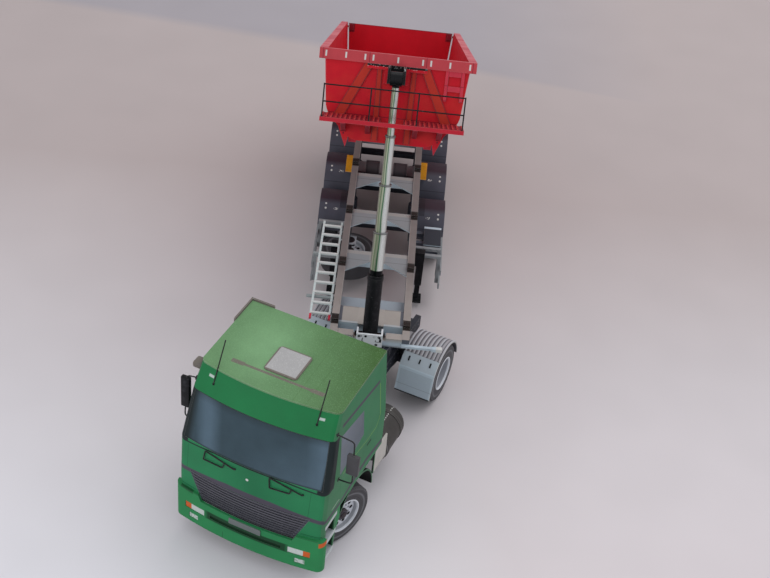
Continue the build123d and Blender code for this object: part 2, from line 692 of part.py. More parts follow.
# Each housing: inner x, outer x, bottom and top
HOUSINGS = ((54.6, 60.6, 101.0, 116.0), (55.2, 60.4, 92.0, 99.0))
with BuildPart() as mirrors:
    top_corner = (MIRROR_X, MIRROR_Y, MIRROR_TOP)
    low_corner = (MIRROR_X, MIRROR_Y, MIRROR_BOTTOM)
    frame_runs = (
        (MIRROR_ARM_ROOT_TOP, top_corner),
        (low_corner, top_corner),
        (MIRROR_ARM_ROOT_LOW, low_corner),
    )
    add(rods(frame_runs, WIRE / 2))
    for inner_x, outer_x, bottom_z, top_z in HOUSINGS:
        with Locations(((inner_x + outer_x) / 2, MIRROR_Y - HOUSING_DEPTH / 4, (bottom_z + top_z) / 2)):
            Box(outer_x - inner_x, HOUSING_DEPTH, top_z - bottom_z)
    add(cab_loft(0.0, CAB_FLOOR_Z, CAB_ROOF_Z), mode=Mode.SUBTRACT)
mirror_pair = both_sides(mirrors.part)

# Kerb mirror over the right door, in one node with the other mirrors
KERB_MIRROR_Y = -149.0
with BuildPart() as kerb_mirror:
    box_between((-54.0, KERB_MIRROR_Y - 2.5, 120.0), (-45.0, KERB_MIRROR_Y + 2.5, 126.0))
    fillet(kerb_mirror.edges().filter_by(Axis.Y), 2.0)
    add(cab_loft(0.0, CAB_FLOOR_Z, CAB_ROOF_Z), mode=Mode.SUBTRACT)
    add(mirror_pair)
save(on_tractor(kerb_mirror.part), "mirrors")

# Wipers: an arm and a blade over each half of the windscreen, standing on its face
WIPER_STAND = 0.75


def screen_y(x, z):
    """Tractor Y of the cab's front face at a height, on its bowed line."""
    half, front = cab_line(z)
    bow_radius = (half**2 + CAB_BOW**2) / (2 * CAB_BOW)
    return front + bow_radius - (bow_radius**2 - x**2) ** 0.5


# Each wiper: arm foot x and z, arm end x and z, and the blade's two ends
WIPER_RUNS = (
    ((-9.6, 75.2), (-30.0, 81.2), (-31.0, 72.8), (-17.2, 74.0)),
    ((34.6, 75.2), (14.0, 81.2), (14.2, 72.8), (27.6, 74.0)),
)
with BuildPart() as wipers:
    for run in WIPER_RUNS:
        stands = [(x, screen_y(x, z) - WIRE / 2 - WIPER_STAND, z) for x, z in run]
        add(rods(((stands[0], stands[1]), (stands[2], stands[3]), (stands[1], stands[2])), WIRE / 2))
        foot_x, foot_z = run[0]
        foot = (foot_x, screen_y(foot_x, foot_z) - SEAT_GAP, foot_z)
        add(rods(((stands[0], foot),), WIRE / 2))
save(on_tractor(wipers.part), "wipers")

# Aerials: two raked wires standing on the header over the windscreen
AERIAL_X = 34.5
AERIAL_FOOT_Z = 120.0
AERIAL_RISE = 20.0
AERIAL_RAKE = 17.0
AERIAL_RADIUS = 0.4
aerial_foot_y = screen_y(AERIAL_X, AERIAL_FOOT_Z) - AERIAL_RADIUS
aerial_runs = []
for side in SIDES:
    foot = (side * AERIAL_X, aerial_foot_y, AERIAL_FOOT_Z)
    knee = (side * AERIAL_X, aerial_foot_y - 1.6, AERIAL_FOOT_Z)
    tip = (side * AERIAL_X, aerial_foot_y + AERIAL_RAKE, AERIAL_FOOT_Z + AERIAL_RISE)
    bend = (side * AERIAL_X, aerial_foot_y - 1.6, AERIAL_FOOT_Z + 9.0)
    aerial_runs.append((foot, knee))
    aerial_runs.append((knee, bend))
    aerial_runs.append((bend, tip))
save(on_tractor(rods(aerial_runs, AERIAL_RADIUS)), "aerials")

# Air duct up the cab's back at the right
DUCT_BOTTOM = 56.0
DUCT_TOP = 131.0
with BuildPart() as air_duct:
    low = (-46.0, CAB_REAR + SEAT_GAP, DUCT_BOTTOM)
    high = (-33.0, CAB_REAR + 8.0, DUCT_TOP)
    box_between(low, high)
    fillet(air_duct.edges().filter_by(Axis.Z).sort_by(Axis.Y)[-2:], 2.5)
    slot_low = (-44.5, CAB_REAR - CARD, DUCT_TOP - 6.0)
    slot_high = (-34.5, CAB_REAR + 6.5, DUCT_TOP - 2.0)
    box_between(slot_low, slot_high, Mode.SUBTRACT)
save(on_tractor(air_duct.part), "air_duct")

# Silencer: a drum with a dished end along the left rail, on two brackets
SILENCER_RADIUS = 13.5
SILENCER_X = 35.6
SILENCER_Z = 29.0
SILENCER_FRONT = -74.5
SILENCER_REAR = -42.0
SILENCER_DISH = 4.5
with BuildPart() as silencer_drum:
    with BuildSketch(Plane.XZ.offset(-SILENCER_FRONT)):
        with Locations((SILENCER_X, SILENCER_Z)):
            Circle(SILENCER_RADIUS)
    extrude(amount=SILENCER_FRONT - SILENCER_REAR)
    round_edges = silencer_drum.edges().filter_by(GeomType.CIRCLE).sort_by(Axis.Y)
    fillet(round_edges[-1], SILENCER_DISH)
    chamfer(round_edges[0], 1.5)
with BuildPart() as silencer_set:
    add(silencer_drum.part)
    for bracket_y in (SILENCER_FRONT + 7.0, SILENCER_REAR - 12.0):
        low = (CHASSIS_HALF, bracket_y - 1.5, CHASSIS_BOTTOM + 1.5)
        high = (SILENCER_X, bracket_y + 1.5, CHASSIS_TOP - 1.5)
        box_between(low, high)
save(on_tractor(silencer_set.part), "silencer")

# Fuel tank along the right rail, with its two straps
TANK_OUTER_X = 46.0
TANK_INNER_X = 19.0
TANK_FRONT = -73.0
TANK_REAR = -22.0
TANK_BOTTOM = 13.5
TANK_TOP = 38.5
TANK_CORNER = 5.0
with BuildPart() as fuel_tank:
    box_between((-TANK_OUTER_X, TANK_FRONT, TANK_BOTTOM), (-TANK_INNER_X, TANK_REAR, TANK_TOP))
    fillet(fuel_tank.edges().filter_by(Axis.Y), TANK_CORNER)
    for strap_y in (TANK_FRONT + 10.0, TANK_REAR - 10.0):
        low = (-TANK_INNER_X - 1.0, strap_y - 1.5, CHASSIS_BOTTOM + 1.5)
        box_between(low, (-CHASSIS_HALF, strap_y + 1.5, CHASSIS_TOP - 1.5))
save(on_tractor(fuel_tank.part), "fuel_tank")

# Rear mudguards: an arc over the twin wheels with a raked apron in front
GUARD_GAP = 1.9
GUARD_LAP = 0.6
GUARD_OUTER_X = REAR_TRACK_OUTER + GUARD_LAP
GUARD_INNER_X = REAR_TRACK_OUTER - 2 * TWIN_TYRE_WIDTH - TWIN_GAP - 2 * GUARD_LAP + 0.2
GUARD_REAR_ANGLE = 5.0
GUARD_APRON_ANGLE = 148.0
APRON_BOTTOM = 15.0
APRON_RAKE = 4.6
GUARD_RADIUS = WHEEL_RADIUS + GUARD_GAP


def guard_point(angle, radius):
    """Y and Z on a circle round the rear axle, the angle counted from the rear."""
    y = REAR_AXLE_Y + radius * cos(radians(angle))
    return y, AXLE_Z + radius * sin(radians(angle))


with BuildPart() as mudguard:
    with BuildSketch(Plane.YZ.offset(GUARD_INNER_X)):
        middle = (GUARD_REAR_ANGLE + GUARD_APRON_ANGLE) / 2
        outer_radius = GUARD_RADIUS + CARD
        outer_end = guard_point(GUARD_APRON_ANGLE, outer_radius)
        inner_end = guard_point(GUARD_APRON_ANGLE, GUARD_RADIUS)
        with BuildLine():
            ThreePointArc(
                guard_point(GUARD_REAR_ANGLE, outer_radius),
                guard_point(middle, outer_radius),
                outer_end,
            )
            Polyline(
                outer_end,
                (outer_end[0] - APRON_RAKE, APRON_BOTTOM),
                (inner_end[0] - APRON_RAKE, APRON_BOTTOM),
                inner_end,
            )
            ThreePointArc(
                inner_end,
                guard_point(middle, GUARD_RADIUS),
                guard_point(GUARD_REAR_ANGLE, GUARD_RADIUS),
            )
            Line(guard_point(GUARD_REAR_ANGLE, GUARD_RADIUS), guard_point(GUARD_REAR_ANGLE, outer_radius))
        make_face()
    extrude(amount=GUARD_OUTER_X - GUARD_INNER_X)
    low = (CHASSIS_HALF, REAR_AXLE_Y - 4.0, CHASSIS_BOTTOM + 2.0)
    high = (GUARD_INNER_X, REAR_AXLE_Y + 4.0, AXLE_Z + GUARD_RADIUS + 0.5)
    box_between(low, high)
save(on_tractor(both_sides(mudguard.part)), "mudguards")

# Trailer frame: two I-section rails, shallow over the tractor and deeper behind
NECK_BOTTOM = RAIL_TOP - NECK_DEPTH
RAIL_BOTTOM = RAIL_TOP - RAIL_DEPTH
RAIL_MIDDLE = RAIL_INNER + RAIL_FLANGE / 2
HINGE_PIN_RADIUS = 2.0
HANGER_HALF = 3.0
HANGER_AHEAD = 12.5
HANGER_SLOT_HALF = 2.8
HANGER_SLOT_RISE = 3.0


def rail_face(x, inset):
    """Side outline of a rail on a plane across X: shallow neck, slope and deep run."""
    with BuildSketch(Plane.YZ.offset(x)) as outline:
        with BuildLine():
            Polyline(
                (TRAILER_FRONT + inset, RAIL_TOP - inset),
                (TRAILER_REAR - inset, RAIL_TOP - inset),
                (TRAILER_REAR - inset, RAIL_BOTTOM + inset),
                (NECK_END + NECK_SLOPE + inset / 2, RAIL_BOTTOM + inset),
                (NECK_END + inset / 2, NECK_BOTTOM + inset),
                (TRAILER_FRONT + inset, NECK_BOTTOM + inset),
                close=True,
            )
        make_face()
    return outline.sketch


WEB_DEPTH = (RAIL_FLANGE - RAIL_WEB) / 2
WEB_FACE = RAIL_MIDDLE + RAIL_WEB / 2
WEB_INNER = RAIL_MIDDLE - RAIL_WEB / 2
with BuildPart() as rail:
    extrude(rail_face(RAIL_INNER, 0.0), amount=RAIL_FLANGE, dir=(1, 0, 0))
    for start in (RAIL_INNER, WEB_FACE):
        extrude(rail_face(start, CARD), amount=WEB_DEPTH, dir=(1, 0, 0), mode=Mode.SUBTRACT)
    for axle_y in TRAILER_AXLES:
        hanger_y = axle_y - HANGER_AHEAD
        with BuildSketch(Plane.YZ.offset(RAIL_INNER)):
            with BuildLine():
                Polyline(
                    (hanger_y - HANGER_HALF, AXLE_Z - 1.0),
                    (hanger_y + HANGER_HALF, AXLE_Z - 1.0),
                    (hanger_y + 2 * HANGER_HALF, RAIL_BOTTOM + CARD / 2),
                    (hanger_y - 2 * HANGER_HALF, RAIL_BOTTOM + CARD / 2),
                    close=True,
                )
            make_face()
        extrude(amount=RAIL_FLANGE)
        slot_z = AXLE_Z + HANGER_SLOT_RISE
        slot_low = (RAIL_INNER + CARD, hanger_y - 2 * HANGER_HALF, slot_z - HANGER_SLOT_HALF)
        slot_high = (
            RAIL_INNER + RAIL_FLANGE - CARD,
            hanger_y + 2 * HANGER_HALF,
            slot_z + HANGER_SLOT_HALF,
        )
        box_between(slot_low, slot_high, Mode.SUBTRACT)
    for number in range(PADS):
        pad_y = PAD_FIRST + number * PAD_SPACING
        with Locations((RAIL_MIDDLE, pad_y, RAIL_TOP)):
            Box(RAIL_FLANGE, PAD_LENGTH, PAD_HEIGHT, align=(Align.CENTER, Align.CENTER, Align.MIN))
HINGE_PIN_HALF = RAIL_INNER + RAIL_FLANGE + 4.5
with BuildPart() as trailer_frame:
    add(both_sides(rail.part))
    with BuildSketch(Plane.YZ.offset(-HINGE_PIN_HALF)):
        with Locations((BED_PIN_Y, BED_PIN_Z)):
            Circle(HINGE_PIN_RADIUS)
    extrude(amount=2 * HINGE_PIN_HALF)
save(on_trailer(trailer_frame.part), "trailer_frame")

# Cross-members between the rails, the front three with a gusset at each end
CROSS_TOP = RAIL_TOP - 1.2
CROSS_HEIGHT = 5.6
GUSSET = 14.0
GUSSET_REACH = 17.0
# Each cross-member: front, rear and the length of its gussets
CROSS_MEMBERS = ((80.0, 92.0, GUSSET), (133.5, 143.5, GUSSET), (184.5, 193.0, GUSSET), (245.0, 253.0, 0))
with BuildPart() as cross_members:
    for front, rear, gusset in CROSS_MEMBERS:
        box_between((-WEB_INNER, front, CROSS_TOP - CROSS_HEIGHT), (WEB_INNER, rear, CROSS_TOP))
        if gusset:
            for side in SIDES:
                with BuildSketch(Plane.XY.offset(CROSS_TOP - CARD)):
                    with BuildLine():
                        Polyline(
                            (side * WEB_INNER, front + CARD),
                            (side * WEB_INNER, front - gusset),
                            (side * (RAIL_INNER - GUSSET_REACH), front),
                            (side * (RAIL_INNER - GUSSET_REACH), front + CARD),
                            close=True,
                        )
                    make_face()
                extrude(amount=CARD)
save(on_trailer(cross_members.part), "cross_members")

# Coupler plate with the kingpin, the front member in two halves and two deck panels
COUPLER_Z = FIFTH_WHEEL_Z + COUPLER_GAP
COUPLER_REAR = 44.0
CHEEK_INNER = 7.9
CHEEK_THICK = 1.2
CHANNEL_HALF = CHEEK_INNER + CHEEK_THICK
FRONT_MEMBER_DEPTH = 6.0
NOTCH = 2.2
DECK_FRONT = 9.0
DECK_REAR = 26.5
KINGPIN_LENGTH = 8.0
with BuildPart() as neck_plate:
    box_between((-RAIL_INNER, TRAILER_FRONT, COUPLER_Z), (RAIL_INNER, COUPLER_REAR, COUPLER_Z + CARD))
    with Locations((0, 0, COUPLER_Z)):
        Cylinder(KINGPIN_RADIUS, KINGPIN_LENGTH, align=(Align.CENTER, Align.CENTER, Align.MAX))
    for side in SIDES:
        inner, outer = sorted((side * CHANNEL_HALF, side * RAIL_INNER))
        box_between(
            (inner, TRAILER_FRONT, COUPLER_Z),
            (outer, TRAILER_FRONT + FRONT_MEMBER_DEPTH, RAIL_TOP - 0.6),
        )
        notch_inner, notch_outer = sorted((side * CHANNEL_HALF, side * (CHANNEL_HALF + NOTCH)))
        box_between(
            (notch_inner, TRAILER_FRONT, CRADLE_Z - NOTCH),
            (notch_outer, TRAILER_FRONT + FRONT_MEMBER_DEPTH, RAIL_TOP),
            Mode.SUBTRACT,
        )
        box_between((inner, DECK_FRONT, COUPLER_Z), (outer, DECK_FRONT + CARD, RAIL_TOP - 0.6))
        box_between((inner, DECK_FRONT, RAIL_TOP - 1.6), (outer, DECK_REAR, RAIL_TOP - 0.6))
save(on_trailer(neck_plate.part), "neck_plate")

# Cylinder cradle: two cheeks on the coupler plate, joined by a pierced plate in front
TRUNNION_RADIUS = 1.5
CHEEK_REAR = CRADLE_Y + 5.0
CRADLE_FRONT = -8.2
CRADLE_PLATE = 1.2
CRADLE_PLATE_BOTTOM = 50.5
CRADLE_TOP = 61.0
CRADLE_HOLE_RADIUS = 0.5
# Middles of the plate's holes: x, and height over its lower edge
CRADLE_HOLES = ((-6.0, 8.6), (-2.6, 8.6), (3.2, 8.6), (6.4, 8.6), (-6.2, 1.9), (-1.4, 1.9), (4.8, 1.9))
with BuildPart() as cradle:
    for start in (CHEEK_INNER, -CHANNEL_HALF):
        with BuildSketch(Plane.YZ.offset(start)):
            with BuildLine():
                Polyline(
                    (CRADLE_FRONT, CRADLE_PLATE_BOTTOM),
                    (CRADLE_FRONT, CRADLE_TOP),
                    (CRADLE_Y, CRADLE_TOP),
                    (CHEEK_REAR, CRADLE_Z),
                    (CHEEK_REAR, COUPLER_Z + CARD),
                    (TRAILER_FRONT, COUPLER_Z + CARD),
                    (TRAILER_FRONT, CRADLE_PLATE_BOTTOM),
                    close=True,
                )
            make_face()
            with Locations((CRADLE_Y, CRADLE_Z)):
                Circle(TRUNNION_RADIUS + PIN_CLEARANCE, mode=Mode.SUBTRACT)
        extrude(amount=CHEEK_THICK)
    box_between(
        (-CHANNEL_HALF, CRADLE_FRONT, CRADLE_PLATE_BOTTOM),
        (CHANNEL_HALF, CRADLE_FRONT + CRADLE_PLATE, CRADLE_TOP),
    )
    with BuildSketch(Plane.XZ.offset(-CRADLE_FRONT)):
        for hole_x, hole_rise in CRADLE_HOLES:
            with Locations((hole_x, CRADLE_PLATE_BOTTOM + hole_rise)):
                Circle(CRADLE_HOLE_RADIUS)
    extrude(amount=-CRADLE_PLATE, mode=Mode.SUBTRACT)
save(on_trailer(cradle.part), "cylinder_cradle")

# Lamp arms out of the trailer's front corners
ARM_END_X = 50.5
ARM_BOTTOM = 50.2
with BuildPart() as lamp_arm:
    box_between((RAIL_INNER, TRAILER_FRONT - 2.4, ARM_BOTTOM), (ARM_END_X - 7.0, TRAILER_FRONT, ARM_BOTTOM + 1.8))
    box_between(
        (ARM_END_X - 7.0, TRAILER_FRONT - 3.0, ARM_BOTTOM - 0.3),
        (ARM_END_X, TRAILER_FRONT - 0.2, ARM_BOTTOM + 2.3),
    )
save(on_trailer(both_sides(lamp_arm.part)), "lamp_arms")

# Landing legs: square tube, inner tube and foot, hung outside the rails
LEG_X = 32.6
LEG_Y = 104.0
LEG_HALF = 2.7
LEG_TOP = 51.0
with BuildPart() as landing_leg:
    box_between((LEG_X - LEG_HALF, LEG_Y - LEG_HALF, 20.0), (LEG_X + LEG_HALF, LEG_Y + LEG_HALF, LEG_TOP))
    box_between(
        (LEG_X - LEG_HALF + 0.8, LEG_Y - LEG_HALF + 0.8, 6.0),
        (LEG_X + LEG_HALF - 0.8, LEG_Y + LEG_HALF - 0.8, 20.0),
    )
    box_between((LEG_X - 4.0, LEG_Y - 5.0, 4.4), (LEG_X + 4.0, LEG_Y + 5.0, 6.0))
    box_between(
        (WEB_FACE, LEG_Y - LEG_HALF, RAIL_BOTTOM + CARD),
        (LEG_X - LEG_HALF, LEG_Y + LEG_HALF, LEG_TOP),
    )
save(on_trailer(both_sides(landing_leg.part)), "landing_legs")

# Ladder, stowed flat on two arms outside the right rail
LADDER_INNER = 28.6
LADDER_OUTER = 43.6
LADDER_FRONT = 13.0
LADDER_REAR = 127.0
LADDER_Z = 51.4
LADDER_RAIL = 1.6
RUNGS = 10
with BuildPart() as ladder:
    for inner in (LADDER_INNER, LADDER_OUTER - LADDER_RAIL):
        box_between(
            (-inner - LADDER_RAIL, LADDER_FRONT, LADDER_Z),
            (-inner, LADDER_REAR, LADDER_Z + LADDER_RAIL),
        )
    pitch = (LADDER_REAR - LADDER_FRONT) / RUNGS
    for number in range(RUNGS):
        rung_y = LADDER_FRONT + pitch * (number + 0.5)
        box_between(
            (-LADDER_OUTER + LADDER_RAIL / 2, rung_y - 0.6, LADDER_Z + 0.3),
            (-LADDER_INNER - LADDER_RAIL / 2, rung_y + 0.6, LADDER_Z + LADDER_RAIL - 0.3),
        )
    for arm_y in (39.0, 89.0):
        box_between(
            (-LADDER_OUTER - 4.2, arm_y - 1.0, LADDER_Z - 1.4),
            (-WEB_FACE, arm_y + 1.0, LADDER_Z),
        )
save(on_trailer(ladder.part), "ladder")

# Spare wheel lying under the right rail, on a bolt from a small plate
SPARE_X = -22.5
SPARE_Y = 127.5
SPARE_TOP = 28.6
SPARE_TURN = Location((SPARE_X, SPARE_Y, SPARE_TOP), (0, -90, 0))
HUB_DROP = 2 * DISC_DEPTH + CARD
CARRIER_HALF = 5.0
NUT_HEIGHT = 1.2
with BuildPart() as spare_set:
    with Locations((SPARE_X, SPARE_Y, RAIL_BOTTOM)):
        Box(2 * CARRIER_HALF, 2 * CARRIER_HALF, CARD, align=(Align.CENTER, Align.CENTER, Align.MAX))
    bolt_low = SPARE_TOP - HUB_DROP - SEAT_GAP - NUT_HEIGHT
    with Locations((SPARE_X, SPARE_Y, bolt_low)):
        Cylinder(HUB_RADIUS, NUT_HEIGHT, align=(Align.CENTER, Align.CENTER, Align.MIN))
        Cylinder(
            STUB_RADIUS,
            RAIL_BOTTOM - bolt_low,
            align=(Align.CENTER, Align.CENTER, Align.MIN),
        )
    add(trailer_wheel.moved(SPARE_TURN))
save(on_trailer(spare_set.part), "spare_wheel")

# Side guards: two planks on hung posts at each side, the right one longer
PLANK_X = 48.0
PLANK_THICK = 1.2
PLANK_HEIGHT = 5.0
PLANK_BOTTOMS = (18.0, 31.0)
POST_DEPTH = 2.4
POST_WIDTH = 2.6
GUARD_ARM_Z = 43.5
# Each guard: its side, front, rear and the fronts of its two posts
SIDE_GUARDS = ((LEFT, 102.0, 144.0, 109.0, 117.5), (RIGHT, 96.0, 144.0, 97.0, 139.0))
with BuildPart() as side_guards:
    for side, front, rear, first_post, second_post in SIDE_GUARDS:
        low_x, high_x = sorted((side * PLANK_X, side * (PLANK_X + PLANK_THICK)))
        for plank_z in PLANK_BOTTOMS:
            box_between((low_x, front, plank_z), (high_x, rear, plank_z + PLANK_HEIGHT))
        low_x, high_x = sorted((side * (PLANK_X - POST_DEPTH), side * PLANK_X))
        arm_low_x, arm_high_x = sorted((side * WEB_FACE, side * PLANK_X))
        for post_y in (first_post, second_post):
            box_between((low_x, post_y, PLANK_BOTTOMS[0]), (high_x, post_y + POST_WIDTH, GUARD_ARM_Z))
            box_between(
                (arm_low_x, post_y, GUARD_ARM_Z - POST_DEPTH),
                (arm_high_x, post_y + POST_WIDTH, GUARD_ARM_Z),
            )
save(on_trailer(side_guards.part), "side_guards")

# Side box at the left, with its lid
BOX_FRONT = 122.0
BOX_REAR = 143.0
BOX_INNER = 34.0
BOX_OUTER = 46.6
BOX_BOTTOM = 33.0
BOX_TOP = 45.0
with BuildPart() as side_box:
    box_between((BOX_INNER, BOX_FRONT, BOX_BOTTOM), (BOX_OUTER, BOX_REAR, BOX_TOP - CARD))
    box_between(
        (BOX_INNER, BOX_FRONT - 0.6, BOX_TOP - 1.6),
        (BOX_OUTER + 0.6, BOX_REAR + 0.6, BOX_TOP),
    )
    for strap_y in (BOX_FRONT + 3.0, BOX_REAR - 6.0):
        box_between((WEB_FACE, strap_y, BOX_BOTTOM + 5.5), (BOX_INNER, strap_y + 3.0, BOX_TOP - 2.5))
save(on_trailer(side_box.part), "side_box")

# Fenders: one arc over each trailer wheel, on a bracket to the rail's web
FENDER_RADIUS = 24.5
FENDER_THICK = 0.8
FENDER_SPREAD = 71.0
FENDER_INNER = 28.2
FENDER_OUTER = 49.5
with BuildPart() as fender:
    reach = FENDER_RADIUS * sin(radians(FENDER_SPREAD))
    drop = FENDER_RADIUS * cos(radians(FENDER_SPREAD))
    outer_reach = (FENDER_RADIUS + FENDER_THICK) * sin(radians(FENDER_SPREAD))
    outer_drop = (FENDER_RADIUS + FENDER_THICK) * cos(radians(FENDER_SPREAD))
    with BuildSketch(Plane.YZ.offset(FENDER_INNER)):
        with BuildLine():
            ThreePointArc(
                (-outer_reach, outer_drop),
                (0, FENDER_RADIUS + FENDER_THICK),
                (outer_reach, outer_drop),
            )
            Line((outer_reach, outer_drop), (reach, drop))
            ThreePointArc((reach, drop), (0, FENDER_RADIUS), (-reach, drop))
            Line((-reach, drop), (-outer_reach, outer_drop))
        make_face()
    extrude(amount=FENDER_OUTER - FENDER_INNER)
    box_between((WEB_FACE, -3.0, FENDER_RADIUS - 0.6), (FENDER_INNER + 3.0, 3.0, FENDER_RADIUS + 0.4))
fender_pair = both_sides(fender.part)
with BuildPart() as fenders:
    for axle_y in TRAILER_AXLES:
        add(fender_pair.moved(Location((0, axle_y, AXLE_Z))))
save(on_trailer(fenders.part), "fenders")

# Trailer axles: a tube through the wheels, with trailing arms and air springs
AXLE_TUBE = 3.0
AXLE_TUBE_END = TRAILER_TRACK_OUTER - TRAILER_TYRE_WIDTH - 0.6
TRAILER_STUB_END = TRAILER_TRACK_OUTER - DISC_DEPTH + DISC_DEPTH / 2
ARM_HALF_WIDTH = 1.45
ARM_TOP = AXLE_Z + HANGER_SLOT_RISE + 2.5
AIR_SPRING_RADIUS = 4.6
AIR_SPRING_BEHIND = 12.0
with BuildPart() as axle_half:
    with BuildSketch(Plane.YZ):
        Circle(AXLE_TUBE)
    extrude(amount=AXLE_TUBE_END)
    with BuildSketch(Plane.YZ.offset(AXLE_TUBE_END)):
        Circle(STUB_RADIUS)
    extrude(amount=TRAILER_STUB_END - AXLE_TUBE_END)
    box_between(
        (RAIL_MIDDLE - ARM_HALF_WIDTH, -HANGER_AHEAD - 2.0, HANGER_SLOT_RISE - 2.5),
        (RAIL_MIDDLE + ARM_HALF_WIDTH, AIR_SPRING_BEHIND + 3.0, HANGER_SLOT_RISE + 2.5),
    )
    with Locations((RAIL_MIDDLE, AIR_SPRING_BEHIND, HANGER_SLOT_RISE + 2.5)):
        Cylinder(
            AIR_SPRING_RADIUS,
            RAIL_BOTTOM - ARM_TOP,
            align=(Align.CENTER, Align.CENTER, Align.MIN),
        )
axle_pair = both_sides(axle_half.part)
with BuildPart() as trailer_axles:
    for axle_y in TRAILER_AXLES:
        add(axle_pair.moved(Location((0, axle_y, AXLE_Z))))
save(on_trailer(trailer_axles.part), "trailer_axles")

# Air tanks: two drums across, on a tray between the rails
AIR_TANK_X = 11.2
AIR_TANK_HALF = 5.6
AIR_TANK_RADIUS = 6.4
AIR_TANK_Y = 215.0
AIR_TANK_Z = 45.4
TRAY_HALF = 15.0
TRAY_SHIFT = 3.0
TRAY_FRONT = AIR_TANK_Y + TRAY_SHIFT - TRAY_HALF
TRAY_REAR = AIR_TANK_Y + TRAY_SHIFT + TRAY_HALF
TRAY_BOTTOM = AIR_TANK_Z - AIR_TANK_RADIUS - CARD + 0.3
with BuildPart() as air_tanks:
    box_between((-WEB_INNER, TRAY_FRONT, TRAY_BOTTOM), (WEB_INNER, TRAY_REAR, TRAY_BOTTOM + CARD))
    for side in SIDES:
        start = side * AIR_TANK_X - AIR_TANK_HALF
        with BuildSketch(Plane.YZ.offset(start)):
            with Locations((AIR_TANK_Y, AIR_TANK_Z)):
                Circle(AIR_TANK_RADIUS)
        extrude(amount=2 * AIR_TANK_HALF)
save(on_trailer(air_tanks.part), "air_tanks")

# Wheel chocks: a wedge on each rail's outer face ahead of the rear fenders
CHOCK_FRONT = 203.5
CHOCK_REAR = 219.5
CHOCK_BOTTOM = 47.2
CHOCK_TOP = 53.0
with BuildPart() as chock:
    with BuildSketch(Plane.YZ.offset(WEB_FACE)):
        with BuildLine():
            Polyline(
                (CHOCK_FRONT, CHOCK_BOTTOM),
                (CHOCK_REAR, CHOCK_BOTTOM),
                (CHOCK_REAR, CHOCK_TOP),
                (CHOCK_REAR - 4.0, CHOCK_TOP),
                close=True,
            )
        make_face()
    extrude(amount=7.2)
save(on_trailer(both_sides(chock.part)), "wheel_chocks")

# Rear bumper hung under the rails' ends
REAR_BAR_HALF = 45.0
REAR_BAR_LOW = 24.0
REAR_BAR_HEIGHT = 7.0
REAR_BAR_DEPTH = 2.0
REAR_BAR_Y = TRAILER_REAR + CARD
HANGER_DEPTH = 5.5
with BuildPart() as rear_bumper:
    bar_rear = REAR_BAR_Y + REAR_BAR_DEPTH
    bar_top = REAR_BAR_LOW + REAR_BAR_HEIGHT
    box_between((-REAR_BAR_HALF, REAR_BAR_Y, REAR_BAR_LOW), (REAR_BAR_HALF, bar_rear, bar_top))
    for side in SIDES:
        low_x, high_x = sorted((side * RAIL_INNER, side * (RAIL_INNER + RAIL_FLANGE)))
        box_between((low_x, REAR_BAR_Y - HANGER_DEPTH, REAR_BAR_LOW), (high_x, REAR_BAR_Y, RAIL_BOTTOM))
save(on_trailer(rear_bumper.part), "rear_bumper")

# Bed tub: one trough with a front wall, a stiff rim, sills and the hinge ears
WALL_FRONT = BED_FRONT + 2.0
WALL = 1.2
SILL_BOTTOM = 4.0
SILL_FRONT = BED_FRONT + 8.0
SILL_REAR = -9.0
EAR_X = 29.4
EAR_THICK = 2.4
EAR_HALF = 6.0
GATE_PIN_U = 20.0
GATE_PIN_W = 61.0
GATE_PIN_RADIUS = 0.9
RIM_BOTTOM = BED_RIM_TOP - BED_RIM_HEIGHT


def trough_face(u, inset, top):
    """Cross-section of the trough on a plane across the bed, smaller by inset."""
    radius = BED_CORNER_RADIUS - inset
    with BuildSketch(Plane.XZ.offset(-u)) as section:
        with BuildLine():
            Polyline(
                (-BED_WALL_TOP_HALF + inset, top),
                (-BED_WALL_LOW_HALF + inset, BED_WALL_LOW + 0.4 * inset),
                (-BED_FLOOR_HALF + 0.4 * inset, BED_FLOOR + inset),
                (BED_FLOOR_HALF - 0.4 * inset, BED_FLOOR + inset),
                (BED_WALL_LOW_HALF - inset, BED_WALL_LOW + 0.4 * inset),
                (BED_WALL_TOP_HALF - inset, top),
                close=True,
            )
        make_face()
        fillet(section.vertices().sort_by(Axis.Y)[:4], radius)
    return section.sketch


